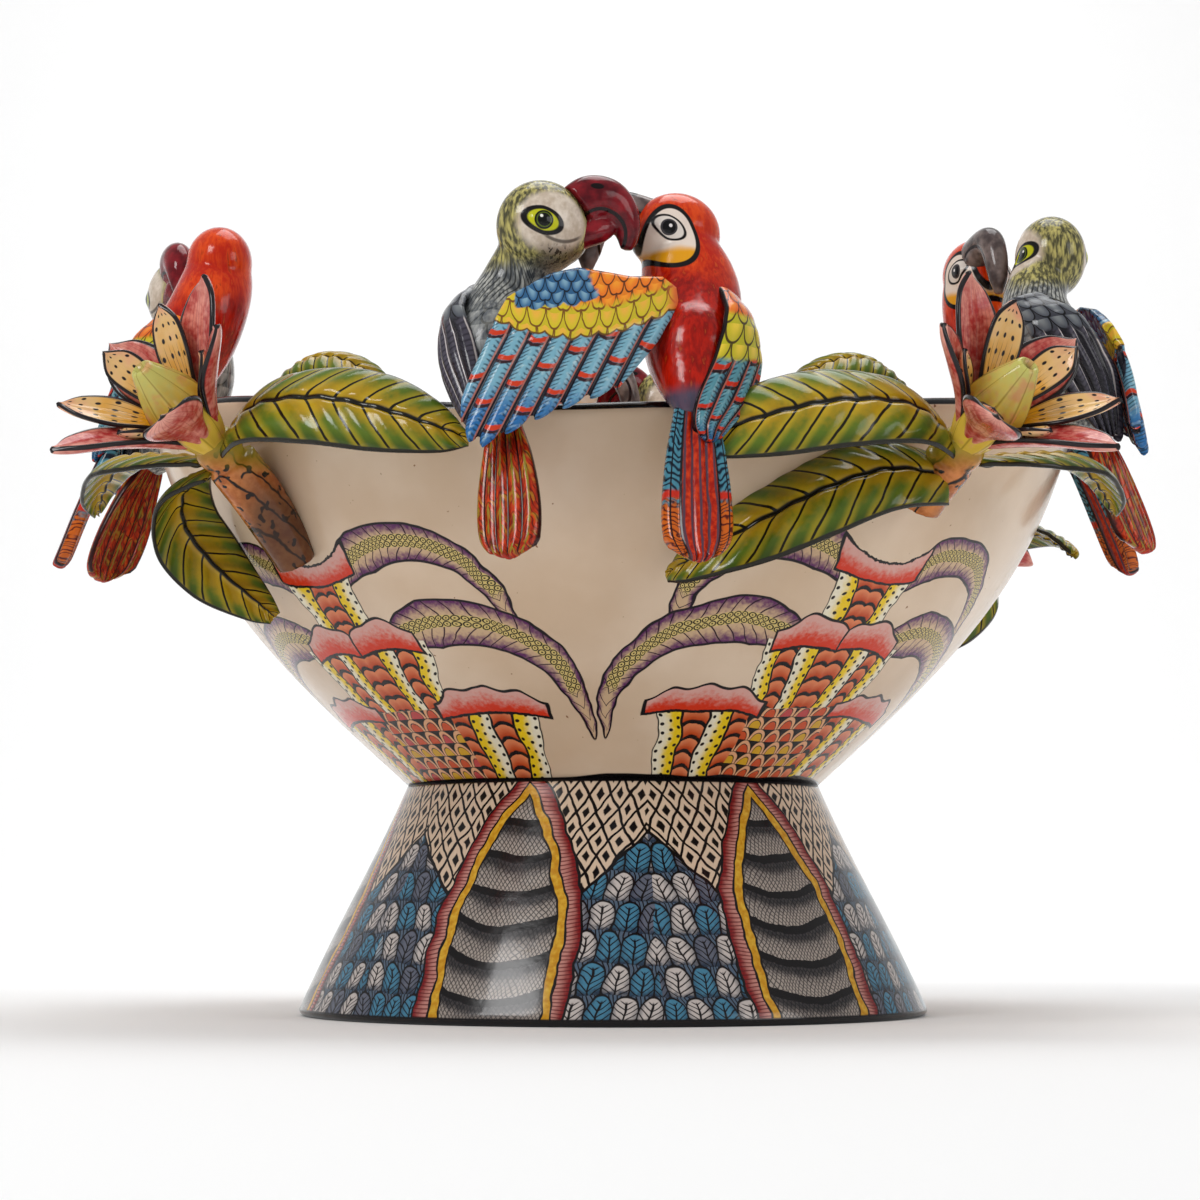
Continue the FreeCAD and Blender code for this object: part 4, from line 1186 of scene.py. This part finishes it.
def pistil_mesh(around=72, rings=30):
    """Ribbed bud with a small dimple at its end; UV u runs round it and v along it."""
    share = np.linspace(0, 1, rings)
    along = smooth_path([s[0] for s in PISTIL], share)[:, 0]
    half = smooth_path([s[1] for s in PISTIL], share)[:, 0]
    points, uv = [], []
    for r in range(rings + 3):
        dip = max(0, r - rings + 1)
        i = min(r, rings - 1)
        at = FLOWER_BASE + FLOWER_AXIS * (along[i] + (0.8 if dip == 1 else -1.6 * dip))
        for k in range(around):
            t = 2 * math.pi * k / around
            rib = 1 + 0.07 * math.cos(PISTIL_RIBS * t) * math.sin(math.pi * min(share[i] * 1.1, 1))
            points.append(at + round_axis(t) * (half[i] * rib * (1 - 0.3 * dip)))
            uv.append((k / around, r / (rings + 2)))
    return mesh_from("pistil", points, ring_faces(rings + 3, around, True), uv)


def outer_petal_paint():
    p = Paint("outer_petal_glaze")
    u, v = p.uv()
    here = p.spot()[3]
    fine, cloud = p.noise(here, 3.0, 4.0), p.noise(here, 11.0, 3.0)
    side = abs(v - 0.5) * 2.0
    colour = p.mix(p.smooth(cloud + fine * 0.7, -0.2, 0.25), rgb(172, 44, 44), rgb(224, 138, 122))
    colour = p.mix(p.smooth(u + cloud * 0.4, 0.6, 1.0) * 0.6, colour, rgb(226, 168, 150))
    streak = p.line(p.fract(v * 12.0 + cloud), 0.5, 0.1, 0.08) * p.smooth(u, 0.0, 0.5)
    colour = p.mix(streak * 0.35, colour, rgb(130, 26, 34))
    colour = p.mix(p.most(p.smooth(side, 0.86, 0.92), p.smooth(u, 0.95, 0.97)), colour, BLACK)
    return p.glaze(colour, fine * 0.3, bump=0.35, deepen=0.92)


def inner_petal_paint():
    p = Paint("inner_petal_glaze")
    u, v = p.uv()
    here = p.spot()[3]
    fine, cloud = p.noise(here, 3.0, 3.0), p.noise(here, 10.0, 2.0)
    side = abs(v - 0.5) * 2.0
    colour = p.mix(p.smooth(u + cloud * 0.6, 0.25, 0.8), rgb(220, 152, 26), rgb(226, 188, 128))
    colour = p.mix(p.smooth(u + cloud * 0.9, 0.6, 1.0) * 0.8, colour, rgb(222, 140, 116))
    line = p.line(p.fract(v * 7.0), 0.5, 0.05, 0.03) * p.within(u, 0.05, 0.55, 0.05)
    colour = p.mix(line * 0.8, colour, rgb(70, 34, 26))
    dot = p.length(p.fract(u * 9.0) - 0.5, p.fract(v * 4.0 + p.floor(u * 9.0) * 0.5) - 0.5)
    colour = p.mix(p.under(dot, 0.17, 0.04) * p.smooth(u, 0.25, 0.3), colour, BLACK)
    colour = p.mix(p.most(p.smooth(side, 0.87, 0.92), p.smooth(u, 0.95, 0.97)), colour, BLACK)
    return p.glaze(colour, fine * 0.25, bump=0.3, deepen=0.92)


def leaf_paint():
    p = Paint("leaf_glaze")
    u, v = p.uv()
    here = p.spot()[3]
    fine, cloud = p.noise(here, 2.5, 3.0), p.noise(here, 26.0, 3.0)
    side = abs(v - 0.5) * 2.0
    colour = p.mix(p.smooth(side + cloud * 1.5 + fine * 0.3, 0.1, 0.65), rgb(164, 128, 20), rgb(80, 102, 26))
    colour = p.mix(p.smooth(cloud + fine * 0.3, 0.05, 0.3) * 0.6, colour, rgb(50, 78, 26))
    colour = p.mix(p.smooth(side, 0.62, 1.0) * 0.8, colour, rgb(34, 52, 18))
    vein_place = abs(p.fract(u * VEINS - side * 1.2 + cloud * 0.4) - 0.5)
    colour = p.mix(p.smooth(vein_place, 0.1, 0.44) * 0.4, colour, rgb(200, 166, 34))
    colour = p.mix(p.smooth(vein_place, 0.43, 0.46) * p.under(side, 0.93, 0.03), colour, rgb(20, 18, 10))
    colour = p.mix(p.under(side, 0.065, 0.02), colour, rgb(20, 18, 12))
    colour = p.mix(p.smooth(side, 0.91, 0.94), colour, rgb(26, 24, 16))
    return p.glaze(colour, fine * 0.3, bump=0.35, deepen=0.92)


def pistil_paint():
    p = Paint("pistil_glaze")
    u, v = p.uv()
    here = p.spot()[3]
    fine = p.noise(here, 3.0, 3.0)
    colour = p.mix(p.smooth(v + fine * 0.4, 0.3, 0.9), rgb(214, 176, 60), rgb(190, 186, 96))
    colour = p.mix(p.smooth(p.noise(here, 9.0, 2.0), 0.02, 0.2) * 0.6, colour, rgb(206, 122, 92))
    rib_edge = p.smooth(abs(p.fract(u * float(PISTIL_RIBS)) - 0.5), 0.4, 0.5)
    colour = p.mix(rib_edge * 0.7, colour, rgb(128, 104, 30))
    colour = p.mix(p.smooth(v, 0.955, 0.97), colour, rgb(30, 24, 14))
    return p.glaze(colour, fine * 0.3, bump=0.35, deepen=0.92)


def stem_paint():
    p = Paint("stem_glaze")
    x, y, z, here = p.spot()
    fine, cloud = p.noise(here, 2.4, 3.0), p.noise(here, 12.0, 2.0)
    colour = p.mix(p.smooth(cloud + fine * 0.4, -0.2, 0.2), rgb(176, 104, 52), rgb(222, 150, 92))
    colour = p.mix(p.smooth(p.noise(here, 5.0, 1.0), 0.12, 0.16), colour, BLACK)
    ring = p.fract((z + y * 0.6 + cloud * 6) / 9.0)
    colour = p.mix(p.line(ring, 0.5, 0.06, 0.03), colour, rgb(40, 28, 22))
    # Painted shade: the stem is darkened towards its lower end and along one side.
    painted_shade = p.smooth(z * -1.0 + x * 1.2 + cloud * 14, 46.0, 66.0) * 0.75
    colour = p.mix(painted_shade, colour, rgb(70, 52, 42))
    colour = p.mix(p.smooth(z + cloud * 6, -38.0, -26.0), colour, rgb(176, 158, 52))
    return p.glaze(colour, fine * 0.3, bump=0.35)


def make_sprays():
    """Flowers and leaves: those of hand -1 are mirrored, on a short stem and with a low leaf."""
    cup = ball(FLOWER_BASE, np.eye(3), (RECEPTACLE,) * 3)
    outer = petal_ring("outer_petals", OUTER_PETALS, OUTER_START, PETAL_THICK)
    inner = petal_ring("inner_petals", INNER_PETALS, INNER_START, INNER_PETAL_THICK)
    stems = {
        1: clay("stem", [tube(STEM, (1, 0, 0)), cup]),
        -1: clay("short_stem", [tube(SHORT_STEM, (1, 0, 0)), cup]),
    }
    lowest_leaf = {1: ("curled", CURLED_LEAF), -1: ("low", LOW_LEAF)}
    leaf_glaze = leaf_paint()
    shared = [
        ("outer_petals", outer, outer_petal_paint(), "outer_petal_glaze"),
        ("inner_petals", inner, inner_petal_paint(), "inner_petal_glaze"),
        ("pistil", pistil_mesh(), pistil_paint(), "pistil_glaze"),
    ]
    stem_glaze = stem_paint()
    for place, (azimuth, hand) in SPRAYS.items():
        z0 = rim_z(azimuth)
        stand = standing(azimuth, SPRAY_RADIUS, z0)
        for name, mesh, glaze, slot in [*shared, ("stem", stems[hand], stem_glaze, "stem_glaze")]:
            if hand < 0:
                mesh = mesh.copy()
                mesh.transform(Matrix.Scale(-1, 4, (1, 0, 0)))
                mesh.flip_normals()
            piece(f"{place}_{name}_painted", mesh, glaze, stand, slot, f"{place}_{name}")
        leaves = (("long", LONG_LEAF), ("outer", OUT_LEAF), ("back", BACK_LEAF), lowest_leaf[hand])
        for kind, stations in leaves:
            mesh = leaf_mesh(f"{place}_{kind}_leaf", stations, azimuth, hand, z0)
            piece(f"{place}_{kind}_leaf", mesh, leaf_glaze, Matrix(), "leaf_glaze", f"{place}_leaves")


# ---- studio ----
def plain(name, colour, rough):
    """Even material for the studio's paper."""
    p = Paint(name)
    shader = p.nodes.new("ShaderNodeBsdfPrincipled")
    shader.inputs["Base Color"].default_value = colour
    shader.inputs["Roughness"].default_value = rough
    p.links.new(shader.outputs[0], p.nodes.new("ShaderNodeOutputMaterial").inputs["Surface"])
    return p.material


def studio():
    """Pale sweep, soft lights and the camera."""
    back, bend = 1500.0, 900.0
    outline = [(-4000.0, 0.0), (back, 0.0)]
    for t in np.linspace(0.1, math.pi / 2, 14):
        outline.append((back + bend * math.sin(t), bend - bend * math.cos(t)))
    outline.append((back + bend, 5000.0))
    points = [(x, y, z) for y, z in outline for x in (-5000.0, 5000.0)]
    faces = [(2 * i, 2 * i + 1, 2 * i + 3, 2 * i + 2) for i in range(len(outline) - 1)]
    sweep = bpy.data.objects.new("sweep", mesh_from("sweep", points, faces))
    sweep.data.materials.append(plain("pale_paper", (0.92, 0.92, 0.92, 1), 0.9))
    bpy.context.scene.collection.objects.link(sweep)
    world = bpy.data.worlds.new("studio")
    bpy.context.scene.world = world
    world.use_nodes = True
    world.node_tree.nodes["Background"].inputs[0].default_value = (1, 1, 1, 1)
    world.node_tree.nodes["Background"].inputs[1].default_value = 0.42
    middle, far_wall = (0, 0, 0.2), (0, 2.6, 0.9)
    for name, place, aim, size, watts in (
        ("key", (-1.5, -1.6, 1.7), middle, 0.8, 26.0),
        ("fill", (1.9, -1.2, 0.9), middle, 1.0, 9.0),
        ("top", (0.2, 0.5, 2.3), middle, 1.4, 22.0),
        ("backdrop", (0.0, 0.9, 1.6), far_wall, 2.5, 14.0),
    ):
        light = bpy.data.lights.new(name, "AREA")
        light.size, light.energy = size, watts
        lamp = bpy.data.objects.new(name, light)
        lamp.location = place
        lamp.rotation_euler = (Vector(aim) - Vector(place)).to_track_quat("-Z", "Y").to_euler()
        bpy.context.scene.collection.objects.link(lamp)
    camera = bpy.data.objects.new("camera", bpy.data.cameras.new("camera"))
    camera.data.lens, camera.data.sensor_width = 85.5, 36.0
    camera.location = (-0.0065, -1.425, 0.057)
    camera.rotation_euler = (math.radians(90 + 5.97), 0, 0)
    bpy.context.scene.collection.objects.link(camera)
    bpy.context.scene.camera = camera
    bpy.context.scene.view_settings.view_transform = "Standard"


studio()
piece("painted_bowl", bowl_mesh(), bowl_paint(), Matrix(), "bowl_glaze", "bowl")
piece("painted_foot", foot_mesh(), foot_paint(), Matrix(), "foot_glaze", "foot")
make_pairs()
make_sprays()
